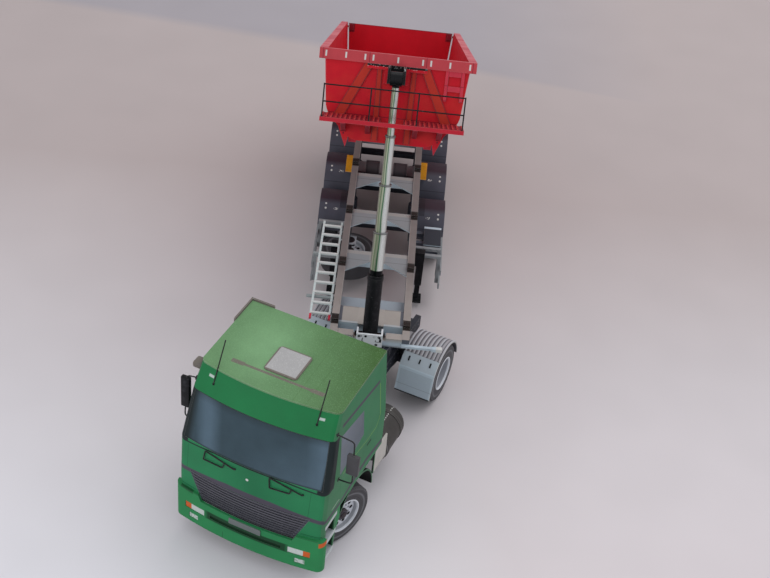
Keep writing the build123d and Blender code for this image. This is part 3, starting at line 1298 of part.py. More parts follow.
with BuildPart() as bed_tub:
    extrude(trough_face(WALL_FRONT, 0.0, BED_RIM_TOP), amount=BED_REAR - WALL_FRONT, dir=(0, 1, 0))
    box_between((-BED_RIM_HALF, BED_FRONT, RIM_BOTTOM), (BED_RIM_HALF, BED_REAR, BED_RIM_TOP))
    for side in SIDES:
        low_x, high_x = sorted((side * RAIL_INNER, side * (RAIL_INNER + RAIL_FLANGE)))
        box_between((low_x, SILL_FRONT, SILL_BOTTOM), (high_x, SILL_REAR, BED_FLOOR + CARD))
        ear_start = EAR_X if side == LEFT else -EAR_X - EAR_THICK
        with BuildSketch(Plane.YZ.offset(ear_start)):
            with BuildLine():
                Polyline(
                    (-EAR_HALF - 8.0, 14.0),
                    (-EAR_HALF - 8.0, BED_FLOOR),
                    (-3.6, -3.6),
                    (3.6, -3.6),
                    (EAR_HALF + 6.0, BED_FLOOR),
                    (EAR_HALF + 6.0, 14.0),
                    close=True,
                )
            make_face()
            Circle(HINGE_PIN_RADIUS + PIN_CLEARANCE, mode=Mode.SUBTRACT)
        extrude(amount=EAR_THICK)
    hollow = trough_face(WALL_FRONT + WALL, WALL, BED_RIM_TOP + CARD)
    extrude(hollow, amount=BED_REAR - WALL_FRONT, dir=(0, 1, 0), mode=Mode.SUBTRACT)
    for side in SIDES:
        start = side * (BED_WALL_TOP_HALF - 4.0) if side == LEFT else -BED_RIM_HALF + 1.2
        with BuildSketch(Plane.YZ.offset(start)):
            with Locations((GATE_PIN_U, GATE_PIN_W)):
                Circle(GATE_PIN_RADIUS + PIN_CLEARANCE)
        extrude(amount=BED_RIM_HALF - 1.2 - BED_WALL_TOP_HALF + 4.0, mode=Mode.SUBTRACT)
    for side in SIDES:
        with BuildSketch(Plane.XZ.offset(-WALL_FRONT)):
            with BuildLine():
                Polyline(
                    (side * 35.4, 15.4),
                    (side * 29.4, 1.2),
                    (side * 28.0, 7.0),
                    (side * 30.5, 15.4),
                    close=True,
                )
            make_face()
        extrude(amount=-2.4)
save(on_bed(bed_tub.part), "bed_tub")

# Front wall ribs: two uprights and two diagonals
RIB_DEPTH = 1.2
RIB_LOW = 7.2
RIB_TOP = RIM_BOTTOM
DIAGONAL_LOW = WALKWAY_TOP
# Each rib: inner and outer x at its top, inner and outer x at its foot, and the foot's height
RIBS = ((10.0, 12.9, 8.6, 12.7, RIB_LOW), (15.2, 21.2, 31.6, 38.6, DIAGONAL_LOW))
with BuildPart() as bed_ribs:
    for side in SIDES:
        for top_inner, top_outer, low_inner, low_outer, low_w in RIBS:
            with BuildSketch(Plane.XZ.offset(-WALL_FRONT)):
                with BuildLine():
                    Polyline(
                        (side * top_inner, RIB_TOP),
                        (side * top_outer, RIB_TOP),
                        (side * low_outer, low_w),
                        (side * low_inner, low_w),
                        close=True,
                    )
                make_face()
            extrude(amount=RIB_DEPTH)

# Step frame on the front wall at the left, in one node with the ribs
STEP_FRAME_INNER = 31.8
STEP_FRAME_OUTER = 44.2
STEP_FRAME_BAR = 2.0
STEP_FRAME_LOW = 38.0
STEP_RUNG = 3.4
with BuildPart() as bed_steps:
    with BuildSketch(Plane.XZ.offset(-WALL_FRONT)):
        middle_x = (STEP_FRAME_INNER + STEP_FRAME_OUTER) / 2
        width = STEP_FRAME_OUTER - STEP_FRAME_INNER
        with Locations((middle_x, (RIB_TOP + STEP_FRAME_LOW) / 2)):
            Rectangle(width, RIB_TOP - STEP_FRAME_LOW)
        opening = (RIB_TOP - STEP_FRAME_LOW - 3 * STEP_RUNG + STEP_RUNG) / 2
        for number in range(2):
            low_w = STEP_FRAME_LOW + number * (opening + STEP_RUNG)
            with Locations((middle_x, low_w + opening / 2)):
                Rectangle(width - 2 * STEP_FRAME_BAR, opening, mode=Mode.SUBTRACT)
    extrude(amount=RIB_DEPTH)
    add(bed_ribs.part)
save(on_bed(bed_steps.part), "bed_ribs")

# Walkway in front of the bed: a tray with a turned-down edge, slotted for the cylinder
WALKWAY_FRONT = BED_FRONT - WALKWAY_DEPTH
WALKWAY_EDGE = 2.7
WALKWAY_STRIP = 0.9
SLOT_SIDE = 7.6
WALKWAY_BRACKET_X = (15.5, 31.5)
with BuildPart() as walkway:
    deck_low = WALKWAY_TOP - WALKWAY_EDGE
    box_between((-WALKWAY_HALF, WALKWAY_FRONT, deck_low), (WALKWAY_HALF, WALL_FRONT - RIB_DEPTH, WALKWAY_TOP))
    box_between(
        (-WALKWAY_HALF + CARD, WALKWAY_FRONT + WALKWAY_STRIP, deck_low - CARD),
        (WALKWAY_HALF - CARD, WALL_FRONT - RIB_DEPTH - CARD, WALKWAY_TOP - CARD),
        Mode.SUBTRACT,
    )
    box_between(
        (-SLOT_SIDE - CARD, WALKWAY_FRONT, deck_low),
        (SLOT_SIDE + CARD, WALL_FRONT - RIB_DEPTH, WALKWAY_TOP),
    )
    box_between(
        (-SLOT_SIDE, WALKWAY_FRONT + WALKWAY_STRIP, deck_low - CARD),
        (SLOT_SIDE, WALL_FRONT, WALKWAY_TOP + CARD),
        Mode.SUBTRACT,
    )
    for bracket_x in WALKWAY_BRACKET_X:
        for side in SIDES:
            with BuildSketch(Plane.YZ.offset(side * bracket_x - 1.5)):
                with BuildLine():
                    Polyline(
                        (WALKWAY_FRONT + 4.0, WALKWAY_TOP - CARD),
                        (WALKWAY_FRONT + 4.0, deck_low - 1.0),
                        (WALL_FRONT, deck_low - 9.0),
                        (WALL_FRONT, WALKWAY_TOP - CARD),
                        close=True,
                    )
                make_face()
            extrude(amount=3.0)
save(on_bed(walkway.part), "walkway")

# Railing along the walkway: four posts, two rails and short returns at the ends
RAILING_WIRE = 0.45
RAILING_U = WALKWAY_FRONT + WALKWAY_STRIP / 2
POSTS_X = (-45.2, -15.0, 15.6, 45.2)
RAIL_LEVELS = (10.0, RAILING_HEIGHT - 0.6)
railing_runs = []
for post_x in POSTS_X:
    foot = (post_x, RAILING_U, WALKWAY_TOP)
    railing_runs.append((foot, (post_x, RAILING_U, WALKWAY_TOP + RAILING_HEIGHT)))
for level in RAIL_LEVELS:
    left_end = (POSTS_X[-1], RAILING_U, WALKWAY_TOP + level)
    right_end = (POSTS_X[0], RAILING_U, WALKWAY_TOP + level)
    railing_runs.append((right_end, left_end))
save(on_bed(rods(railing_runs, RAILING_WIRE)), "railings")

# Head bracket: a bar on the front wall with two cheeks and the pin for the cylinder's eye
HEAD_BAR_HALF = 19.6
HEAD_BAR_LOW = 54.4
HEAD_CHEEK_INNER = 4.2
HEAD_CHEEK = 1.6
HEAD_REACH = EYE_AHEAD + 2.6
EYE_U = BED_FRONT - EYE_AHEAD
with BuildPart() as head_bracket:
    box_between((-HEAD_BAR_HALF, BED_FRONT, HEAD_BAR_LOW), (HEAD_BAR_HALF, WALL_FRONT - RIB_DEPTH, RIM_BOTTOM))
    box_between((-8.0, BED_FRONT, EYE_HEIGHT - 5.0), (8.0, WALL_FRONT, RIM_BOTTOM))
    for start in (HEAD_CHEEK_INNER, -HEAD_CHEEK_INNER - HEAD_CHEEK):
        with BuildSketch(Plane.YZ.offset(start)):
            with BuildLine():
                Polyline(
                    (BED_FRONT + CARD, EYE_HEIGHT - 5.0),
                    (BED_FRONT + CARD, RIM_BOTTOM),
                    (BED_FRONT - HEAD_REACH + 2.0, RIM_BOTTOM),
                    (BED_FRONT - HEAD_REACH, EYE_HEIGHT + 3.0),
                    (BED_FRONT - HEAD_REACH, EYE_HEIGHT - 3.0),
                    close=True,
                )
            make_face()
        extrude(amount=HEAD_CHEEK)
    with BuildSketch(Plane.YZ.offset(-HEAD_CHEEK_INNER - HEAD_CHEEK)):
        with Locations((EYE_U, EYE_HEIGHT)):
            Circle(HEAD_PIN_RADIUS)
    extrude(amount=2 * (HEAD_CHEEK_INNER + HEAD_CHEEK))
save(on_bed(head_bracket.part), "head_bracket")

# Tailgate: a plate between the walls, hung from two pins in the rim
GATE_GAP = 1.1
GATE_THICK = 1.2
GATE_TOP = 64.0
GATE_PIN_END = BED_RIM_HALF - 1.6
with BuildPart() as tailgate:
    gate = trough_face(GATE_PIN_U - GATE_THICK / 2, WALL + GATE_GAP, GATE_TOP)
    extrude(gate, amount=GATE_THICK, dir=(0, 1, 0))
    for side in SIDES:
        low_x, high_x = sorted((side * 40.5, side * (BED_WALL_TOP_HALF - WALL - GATE_GAP - 0.2)))
        box_between(
            (low_x, GATE_PIN_U - GATE_THICK / 2 - 1.6, GATE_PIN_W - 2.4),
            (high_x, GATE_PIN_U + GATE_THICK / 2, GATE_PIN_W + 2.4),
        )
        start = 41.0 if side == LEFT else -GATE_PIN_END
        with BuildSketch(Plane.YZ.offset(start)):
            with Locations((GATE_PIN_U, GATE_PIN_W)):
                Circle(GATE_PIN_RADIUS)
        extrude(amount=GATE_PIN_END - 41.0)
save(on_bed(tailgate.part), "tailgate")

# Cylinder base: a closed tube on two trunnions
TRUNNION_END = CHANNEL_HALF + 1.4
BASE_BORE = STAGE_RADII[0] + TUBE_CLEARANCE
BASE_FLOOR = -2.6
with BuildPart() as cylinder_base:
    with Locations((0, 0, -BASE_TAIL)):
        Cylinder(BASE_RADIUS, BASE_TOP + BASE_TAIL, align=(Align.CENTER, Align.CENTER, Align.MIN))
    chamfer(cylinder_base.faces().sort_by(Axis.Z)[0].edges(), 2.0)
    with Locations((0, 0, BASE_TOP - COLLAR_HEIGHT)):
        Cylinder(BASE_RADIUS + COLLAR / 2, COLLAR_HEIGHT, align=(Align.CENTER, Align.CENTER, Align.MIN))
    with BuildSketch(Plane.YZ.offset(-TRUNNION_END)):
        Circle(TRUNNION_RADIUS)
    extrude(amount=2 * TRUNNION_END)
    with Locations((0, 0, BASE_FLOOR)):
        Cylinder(
            BASE_BORE,
            BASE_TOP + BASE_TAIL,
            align=(Align.CENTER, Align.CENTER, Align.MIN),
            mode=Mode.SUBTRACT,
        )
save(on_cylinder(cylinder_base.part), "cylinder_base")

# Four nested stages, each with a collar at its top; the last one carries the eye
for number, radius in enumerate(STAGE_RADII, start=1):
    top = BASE_TOP + number * STAGE_STEP
    bottom = top - STAGE_LENGTH
    with BuildPart() as stage:
        with Locations((0, 0, bottom)):
            Cylinder(radius, STAGE_LENGTH, align=(Align.CENTER, Align.CENTER, Align.MIN))
        if number < len(STAGE_RADII):
            with Locations((0, 0, top - COLLAR_HEIGHT)):
                Cylinder(
                    radius + COLLAR / 2,
                    COLLAR_HEIGHT,
                    align=(Align.CENTER, Align.CENTER, Align.MIN),
                )
        with Locations((0, 0, bottom)):
            Cylinder(
                radius - STAGE_WALL,
                STAGE_LENGTH,
                align=(Align.CENTER, Align.CENTER, Align.MIN),
                mode=Mode.SUBTRACT,
            )
        if number == len(STAGE_RADII):
            with BuildSketch(Plane.YZ.offset(-EYE_WIDTH / 2)):
                with Locations((0, CYLINDER_LENGTH)):
                    Circle(EYE_RADIUS)
            extrude(amount=EYE_WIDTH)
            with BuildSketch(Plane.YZ.offset(-EYE_WIDTH / 2)):
                with Locations((0, CYLINDER_LENGTH)):
                    Circle(EYE_BORE)
            extrude(amount=EYE_WIDTH, mode=Mode.SUBTRACT)
    save(on_cylinder(stage.part), f"cylinder_stage_{number}")
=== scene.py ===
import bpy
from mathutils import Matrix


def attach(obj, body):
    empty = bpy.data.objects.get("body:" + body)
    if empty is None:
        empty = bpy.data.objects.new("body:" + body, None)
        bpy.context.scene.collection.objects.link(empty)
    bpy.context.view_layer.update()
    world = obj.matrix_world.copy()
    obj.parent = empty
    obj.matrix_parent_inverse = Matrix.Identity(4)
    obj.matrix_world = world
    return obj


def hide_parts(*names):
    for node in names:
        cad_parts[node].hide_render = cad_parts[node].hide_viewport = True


bl_info = {
    "name": "Card tipper lorry",
    "version": (1, 0, 0),
    "blender": (4, 5, 0),
    "location": "View3D > Sidebar > Tipper",
    "description": "Prints, wires and small fittings of a card model of a tipper lorry",
    "category": "Object",
}

from math import cos, pi, radians, sin

import bpy
from bpy.props import FloatProperty, FloatVectorProperty, PointerProperty
from mathutils import Matrix, Vector

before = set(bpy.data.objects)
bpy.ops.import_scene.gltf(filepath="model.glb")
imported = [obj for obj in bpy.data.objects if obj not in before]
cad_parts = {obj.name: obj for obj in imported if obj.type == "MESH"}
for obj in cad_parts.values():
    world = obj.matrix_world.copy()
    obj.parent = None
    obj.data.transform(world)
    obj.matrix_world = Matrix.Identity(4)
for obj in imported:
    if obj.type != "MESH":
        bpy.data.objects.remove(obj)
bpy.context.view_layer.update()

# Places of the carriers, in millimetres and degrees, as the solids stand
KINGPIN = (26.3, -86.2, 0.0)
TRACTOR_YAW = -21.4
BED_PIN = (0.0, 302.0, 54.0)
BED_ANGLE = 25.1
CRADLE_PIN = (0.0, -1.0, 55.5)
CYLINDER_LEAN = 17.73
WHEEL_RADIUS = 21.5
RIM_RADIUS = 12.4
FRONT_AXLE_Y = -123.4
REAR_AXLE_Y = 23.3
STEER_PIN_X = 30.5
STEER_ANGLE = -21.0
TRAILER_AXLES = (170.5, 223.0, 275.5)
SPARE_PLACE = (-22.5, 127.5, 21.0)
SIDES = (("left", 1), ("right", -1))
# Folds of the cab's front: height, half width and place of the middle
CAB_LINE = ((50.0, 49.5, -174.0), (80.0, 49.5, -172.5), (113.0, 47.0, -162.5), (127.0, 46.0, -154.0))
CAB_BOW = 5.0
# Grille: its foot, its height, its slats and how far each side leans out over the height
GRILLE_FOOT = 35.6
GRILLE_HEIGHT = 20.9
GRILLE_SLATS = 9
GRILLE_LEAN = 9.5
# Silencer's middle, as x and z
SILENCER = (35.6, 29.0)
# Wheels: holes and nuts around the hub, the radii of their circles, and the hub
SPOKES = 10
HOLE_CIRCLE = 8.6
NUT_CIRCLE = 6.3
HUB_RADIUS = 4.0
# Upright stays of the bed's sides
STAY_PITCH = 34.0
STAY_HALF = 2.2
# Ways that a surface can face, on any carrier
FORWARD = (0, -1, 0)
REARWARD = (0, 1, 0)
UPWARD = (0, 0, 1)
DOWNWARD = (0, 0, -1)
# Reflection of printed card and paint, low so that the inks keep their depth
INK_SHINE = 0.15
# Each drawn stage: its radius and its top along the cylinder
STAGES = ((4.5, 75.26), (3.8, 108.42), (3.1, 141.58), (2.4, 174.74))


def shift(x, y, z):
    """Matrix that moves a drawing."""
    return Matrix.Translation((x, y, z))


def turn(degrees, axis):
    """Matrix that turns a drawing about an axis."""
    return Matrix.Rotation(radians(degrees), 4, axis)


def screen_y(x, z):
    """Tractor Y of the bowed front of the cab at a height."""
    for (low, low_half, low_y), (high, high_half, high_y) in zip(CAB_LINE, CAB_LINE[1:]):
        if z <= high:
            break
    share = max(0.0, (z - low) / (high - low))
    half = low_half + share * (high_half - low_half)
    bow_radius = (half ** 2 + CAB_BOW ** 2) / (2 * CAB_BOW)
    return low_y + share * (high_y - low_y) + bow_radius - (bow_radius ** 2 - x ** 2) ** 0.5


TRAILER = shift(*KINGPIN)
TRACTOR = TRAILER @ turn(TRACTOR_YAW, "Z")
CARRIERS = {
    "trailer": TRAILER,
    "tractor": TRACTOR,
    "bed": TRAILER @ shift(*BED_PIN) @ turn(-BED_ANGLE, "X"),
    "cylinder": TRAILER @ shift(*CRADLE_PIN) @ turn(-CYLINDER_LEAN, "X"),
    "rear_axle": TRACTOR @ shift(0.0, REAR_AXLE_Y, WHEEL_RADIUS),
    "spare": TRAILER @ shift(*SPARE_PLACE),
}
for side_name, side in SIDES:
    pin = shift(side * STEER_PIN_X, FRONT_AXLE_Y, WHEEL_RADIUS)
    CARRIERS[f"front_{side_name}"] = TRACTOR @ pin @ turn(STEER_ANGLE, "Z")
for number, axle_y in enumerate(TRAILER_AXLES, start=1):
    CARRIERS[f"axle_{number}"] = TRAILER @ shift(0.0, axle_y, WHEEL_RADIUS)


def ink(code):
    """A printed colour, written as on screen, as the linear values that shaders take."""
    steps = [int(code[place:place + 2], 16) / 255 for place in (0, 2, 4)]
    return tuple(v / 12.92 if v <= 0.04045 else ((v + 0.055) / 1.055) ** 2.4 for v in steps)


def tint(name, code, description):
    """A colour that can be changed, with its printed default."""
    return FloatVectorProperty(
        name=name, description=description, default=ink(code), min=0.0, max=1.0, size=3, subtype="COLOR"
    )


def length(name, millimetres, description):
    """A small length that can be changed."""
    return FloatProperty(
        name=name,
        description=description,
        default=millimetres / 1000,
        min=0.0,
        unit="LENGTH",
        precision=5,
    )


class TIPPER_Colours(bpy.types.PropertyGroup):
    """Printed colours of the model and its floor."""

    green: tint("Cab green", "28774d", "Front and sides of the cab")
    green_dark: tint("Middle green", "1e6140", "Duller middle of the cab's front")
    green_header: tint("Header green", "1e7041", "Panel over the windscreen")
    green_side_shade: tint("Side green", "3e7451", "Sides of the cab, away from the light")
    green_bumper: tint("Bumper green", "2a7e4b", "Bumper and its corners")
    green_lit: tint("Lit green", "87b385", "Brightest part of the roof")
    green_roof: tint("Roof green", "648a60", "Roof panel in the light")
    green_olive: tint("Olive green", "3a5c2b", "Roof panel towards its rear right corner")
    green_line: tint("Lime line", "7aa64f", "Thin line round the door")
    screen: tint("Windscreen", "364750", "Windscreen away from its light bands")
    screen_reflection: tint("Windscreen light", "516573", "Light bands of the windscreen")
    pillar: tint("Pillar", "1d2627", "Pillars beside the windscreen")
    side_window: tint("Side window", "68707c", "Side windows")
    grille: tint("Grille", "373841", "Grille slats")
    grille_back: tint("Grille backing", "30313a", "Sheet behind the grille's slats")
    rib_pale: tint("Raised rib", "b4b4ba", "Raised ribs of the mudguards")
    walkway_bar: tint("Walkway bar", "b32a2c", "Raised bars of the walkway")
    band: tint("Band", "4a4651", "Dark band round the cab")
    seam: tint("Seam", "0f2a19", "Printed seams and shaded recesses of green card")
    seam_light: tint("Slat edge", "6a6872", "Light edges of the grille's slats")
    plate_pale: tint("Tread plate", "b9bfbf", "Risers and treads of the cab steps")
    hatch: tint("Hatch", "a3a2a2", "Roof hatch")
    hatch_line: tint("Hatch line", "6e665f", "Outline of the hatch and the roof bar")
    lamp: tint("Lamp", "c4ccca", "White lamp prints")
    amber: tint("Amber", "c45a26", "Orange lamp prints")
    plate: tint("Blank plate", "656b6b", "Number plates, left blank")
    tyre: tint("Tyre", "4b4a4d", "Tyres")
    rim: tint("Rim", "d4d8de", "Wheel rims")
    rim_plain: tint("Twin rim", "c2c5cc", "Rims of the twin wheels")
    grey: tint("Blue-grey", "b6c4ce", "Mudguard aprons, cross-members and side box")
    rib: tint("Rib", "9d9b9f", "Light ribs of the mudguards")
    rib_dark: tint("Rib shadow", "4c4b52", "Dark lines between the mudguard ribs")
    panel: tint("Pale panel", "b9b5af", "Panel behind the front wheel")
    rail: tint("Rail", "7c7573", "Tops of the trailer's rails")
    rail_side: tint("Rail side", "5d6068", "Webs of the trailer's rails")
    pad: tint("Pad", "2a2422", "Pads on the rails")
    rail_pale: tint("Pale rail", "a8a09b", "Front ends of the rails and the front member")
    cross_top: tint("Cross-member top", "8b8f92", "Tops of the cross-members")
    deck: tint("Deck", "a8a29c", "Panels behind the cradle")
    cradle: tint("Cradle", "dde0e4", "Plate in front of the cylinder")
    tray: tint("Tray", "9a989a", "Tray under the air tanks")
    chassis: tint("Chassis", "33363e", "Tractor chassis and axles")
    fender: tint("Fender", "515560", "Front slopes of the trailer's fenders")
    fender_shade: tint("Fender top", "382a34", "Tops of the trailer's fenders")
    spare: tint("Spare tyre", "40393c", "Spare wheel's tyre")
    drum: tint("Silencer", "423f3d", "Silencer drum")
    duct: tint("Duct", "6d665f", "Air duct behind the cab")
    black: tint("Black", "0f0f12", "Black card, wire and the cylinder's base")
    paper: tint("Paper", "c9c9c6", "Bare edges and backs of the card")
    red: tint("Bed red", "cb2d43", "Outside of the bed")
    red_deep: tint("Deep red", "c01224", "Inside of the bed")
    red_rim: tint("Rim red", "b44047", "Rim of the bed")
    red_top: tint("Rim top", "b3414c", "Upward face of the rim")
    rim_lit: tint("Lit rim", "d98a8c", "Brightest stretches of the rim")
    red_edge: tint("Walkway edge", "b02231", "Front edge of the walkway")
    red_line: tint("Red shadow", "5c1526", "Outlines of the ribs")
    rib_red: tint("Rib red", "b02f24", "Ribs on the bed's front wall")
    walkway: tint("Walkway red", "8f1c28", "Grating of the walkway")
    orange: tint("Chock orange", "c98a1c", "Wheel chocks")
    ladder: tint("Ladder", "d1dedd", "Ladder rails and rungs")
    tube: tint("Bright tube", "b4b8b2", "Drawn stages of the cylinder")
    streak: tint("Streak", "8b8c66", "Dull streak of the stages")
    glint: tint("Glint", "d6d8d6", "Bright streak of the stages")
    floor: tint("Floor", "e8e8ee", "Front of the card that the model stands on")
    floor_back_shade: tint("Floor behind", "998680", "Card of the floor behind the model")
    floor_far: tint("Far floor", "a39da2", "Lavender stretch of the floor, far behind at the left")
    floor_right: tint("Floor at the right", "cfc3c4", "Card of the floor at the right")


class TIPPER_Sizes(bpy.types.PropertyGroup):
    """Sizes of the fittings and of the print's grain."""

    print_edge: length("Print edge", 0.3, "Softness of a printed edge")
    fold_width: length("Fold", 0.35, "Width of the worn line along a fold")
    wire: length("Wire", 0.45, "Radius of mirror wire")
    thin_wire: length("Thin wire", 0.42, "Radius of wiper wire")


def colours():
    return bpy.context.scene.tipper_colours


def size(name):
    """One of the sizes, in millimetres."""
    return getattr(bpy.context.scene.tipper_sizes, name) * 1000


class Value:
    """A number that varies over a surface, with the arithmetic of shader maths."""

    def __init__(self, finish, socket):
        self.finish = finish
        self.socket = socket

    def calc(self, operation, *others):
        return self.finish.math(operation, self, *others)

    def __add__(self, other):
        return self.calc("ADD", other)

    __radd__ = __add__

    def __sub__(self, other):
        return self.calc("SUBTRACT", other)

    def __rsub__(self, other):
        return self.finish.math("SUBTRACT", other, self)

    def __mul__(self, other):
        return self.calc("MULTIPLY", other)

    __rmul__ = __mul__

    def __truediv__(self, other):
        return self.calc("DIVIDE", other)

    def __mod__(self, other):
        return self.calc("FLOORED_MODULO", other)

    def __pow__(self, other):
        return self.calc("POWER", other)

    def __neg__(self):
        return self.calc("MULTIPLY", -1.0)

    def __abs__(self):
        return self.calc("ABSOLUTE")

    def __and__(self, other):
        return self.calc("MINIMUM", other)

    def __or__(self, other):
        return self.calc("MAXIMUM", other)

    def __invert__(self):
        return 1.0 - self


class Finish:
    """A printed material, drawn in millimetres on one carrier of the model."""

    def __init__(self, name, carrier, colour):
        self.carrier = carrier
        self.material = bpy.data.materials.new(name)
        self.material.use_nodes = True
        self.tree = self.material.node_tree
        self.shader = self.tree.nodes["Principled BSDF"]
        back = CARRIERS[carrier].inverted()
        place = self.node(
            "ShaderNodeMapping",
            {"vector_type": "POINT"},
            {
                "Vector": self.node("ShaderNodeTexCoord").outputs["Object"],
                "Location": back.to_translation(),
                "Rotation": back.to_euler("XYZ"),
                "Scale": (1000.0, 1000.0, 1000.0),
            },
        )
        self.place = place.outputs["Vector"]
        split = self.node("ShaderNodeSeparateXYZ", inputs={"Vector": self.place})
        self.x, self.y, self.z = [Value(self, split.outputs[axis]) for axis in "XYZ"]
        self.colour = tuple(colour)
        self.edge = size("print_edge")

    def node(self, kind, settings=None, inputs=None):
        """Any node: its type, its settings and the values or links of its sockets."""
        made = self.tree.nodes.new(kind)
        for key, value in (settings or {}).items():
            if key == "stops":
                ramp = made.color_ramp
                while len(ramp.elements) < len(value):
                    ramp.elements.new(0.5)
                for element, (position, colour) in zip(ramp.elements, value):
                    element.position = position
                    element.color = (*colour, 1.0)
            else:
                setattr(made, key, value)
        for key, value in (inputs or {}).items():
            self.feed(made.inputs[key], value)
        return made

    def feed(self, socket, value):
        if isinstance(value, Value):
            value = value.socket
        if isinstance(value, bpy.types.NodeSocket):
            self.tree.links.new(value, socket)
        elif socket.type == "RGBA":
            socket.default_value = (*value, 1.0)
        else:
            socket.default_value = value

    def math(self, operation, *values):
        inputs = dict(enumerate(values))
        return Value(self, self.node("ShaderNodeMath", {"operation": operation}, inputs).outputs[0])

    def rise(self, value, low, high):
        """From 0 at low to 1 at high, level beyond them."""
        inputs = {"Value": value, "From Min": low, "From Max": high}
        return Value(self, self.node("ShaderNodeMapRange", inputs=inputs).outputs["Result"])

    def between(self, value, low, high, soft=None):
        half = (self.edge if soft is None else soft) / 2
        return self.rise(value, low - half, low + half) & self.rise(value, high + half, high - half)

    def within(self, value, half, soft=None):
        """1 up to a distance from zero, 0 beyond it."""
        edge = (self.edge if soft is None else soft) / 2
        return self.rise(abs(value), half + edge, half - edge)

    def length(self, u, v):
        return self.math("SQRT", u * u + v * v)

    def disc(self, u, v, centre, radius, soft=None):
        return self.within(self.length(u - centre[0], v - centre[1]), radius, soft)

    def box(self, u, v, us, vs, soft=None):
        return self.between(u, *us, soft) & self.between(v, *vs, soft)

    def stroke(self, u, v, points, width):
        """A printed line through some points."""
        nearest = None
        for (u0, v0), (u1, v1) in zip(points, points[1:]):
            du, dv = u1 - u0, v1 - v0
            square = du * du + dv * dv
            start = (u0 * du + v0 * dv) / square
            along = self.rise(u * (du / square) + v * (dv / square), start, start + 1.0)
            gap = self.length(u - u0 - along * du, v - v0 - along * dv)
            nearest = gap if nearest is None else nearest & gap
        return self.within(nearest, width / 2)

    def patch(self, u, v, corners, soft=None):
        """A printed patch with straight sides, its corners given either way round."""
        turned = sum(a[0] * b[1] - b[0] * a[1] for a, b in zip(corners, corners[1:] + corners[:1]))
        sense = 1.0 if turned > 0 else -1.0
        inside = None
        for (u0, v0), (u1, v1) in zip(corners, corners[1:] + corners[:1]):
            du, dv = u1 - u0, v1 - v0
            side = sense / (du * du + dv * dv) ** 0.5
            depth = (v * (du * side)) - (u * (dv * side)) + (u0 * dv - v0 * du) * side
            inside = depth if inside is None else inside & depth
        half = (self.edge if soft is None else soft) / 2
        return self.rise(inside, -half, half)

    def noise(self, millimetres, detail=2.0, stretch=None):
        """Cloudy noise of a given grain."""
        vector = self.place
        if stretch:
            inputs = {"Vector": self.place, "Scale": stretch}
            vector = self.node("ShaderNodeMapping", inputs=inputs).outputs["Vector"]
        inputs = {"Vector": vector, "Scale": 1.0 / millimetres, "Detail": detail}
        return Value(self, self.node("ShaderNodeTexNoise", inputs=inputs).outputs["Fac"])

    def facing(self, axis):
        """How far the surface faces along one axis of the carrier, from -1 to 1."""
        normal = self.node("ShaderNodeTexCoord").outputs["Normal"]
        direction = CARRIERS[self.carrier].to_3x3() @ Vector(axis)
        dot = self.node("ShaderNodeVectorMath", {"operation": "DOT_PRODUCT"}, {0: normal, 1: direction})
        return Value(self, dot.outputs["Value"])

    def faces(self, axis, low, high):
        """1 where the surface faces along an axis by the higher cosine or more, 0 under the lower."""
        return self.rise(self.facing(axis), low, high)

    def flanks(self, low, high):
        """1 where the surface faces either side of the carrier."""
        return self.rise(abs(self.facing((1, 0, 0))), low, high)

    def paint(self, mask, colour):
        """Print a colour over the last ones, where the mask is."""
        inputs = {0: mask, 6: self.colour, 7: tuple(colour)}
        self.colour = self.node("ShaderNodeMix", {"data_type": "RGBA"}, inputs).outputs[2]

    def shade(self, factor):
        """Lighten or darken all that is printed so far."""
        if not isinstance(self.colour, bpy.types.NodeSocket):
            inputs = {0: 0.0, 6: self.colour, 7: self.colour}
            self.colour = self.node("ShaderNodeMix", {"data_type": "RGBA"}, inputs).outputs[2]
        inputs = {0: self.colour, "Scale": factor}
        scaled = self.node("ShaderNodeVectorMath", {"operation": "SCALE"}, inputs)
        self.colour = scaled.outputs["Vector"]

    def mottle(self, millimetres, strength, detail=2.0):
        """Uneven ink: cloudy lighter and darker places of a given grain."""
        self.shade(1.0 + (self.noise(millimetres, detail) - 0.5) * strength)

    def folds(self):
        """Where the surface turns sharply, as along the folds and cut edges of card."""
        bevel = self.node("ShaderNodeBevel", {"samples": 4}, {"Radius": size("fold_width") / 1000})
        normal = self.node("ShaderNodeNewGeometry").outputs["Normal"]
        inputs = {0: bevel.outputs[0], 1: normal}
        dot = self.node("ShaderNodeVectorMath", {"operation": "DOT_PRODUCT"}, inputs)
        return self.rise(Value(self, dot.outputs["Value"]), 0.985, 0.90)

    def card(self, grain=0.05, rough=0.55, wear=0.35, bump=0.02):
        """Finish as printed card: fine grain, cloudiness, paper at worn folds, fibres."""
        fine = self.noise(0.35, 3.0)
        cloud = self.noise(11.0, 2.0)
        self.shade(1.0 + (fine - 0.5) * (4 * grain) + (cloud - 0.5) * (2.5 * grain))
        if wear:
            worn = self.folds() * (wear * 0.5 + self.noise(3.0) * wear)
            self.paint(worn, colours().paper)
        self.feed(self.shader.inputs["Roughness"], rough + (cloud - 0.5) * 0.2)
        fibre = self.node(
            "ShaderNodeBump",
            inputs={"Strength": 0.4, "Distance": bump / 1000, "Height": fine + self.noise(1.6) * 2.0},
        )
        return self.done(fibre.outputs["Normal"])

    def done(self, normal=None):
        self.feed(self.shader.inputs["Base Color"], self.colour)
        if normal:
            self.feed(self.shader.inputs["Normal"], normal)
        self.shader.inputs["Specular IOR Level"].default_value = INK_SHINE
        return self.material


def dress(node, material):
    """Give a node of the frame its finish."""
    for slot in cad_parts[node].material_slots:
        slot.material = material


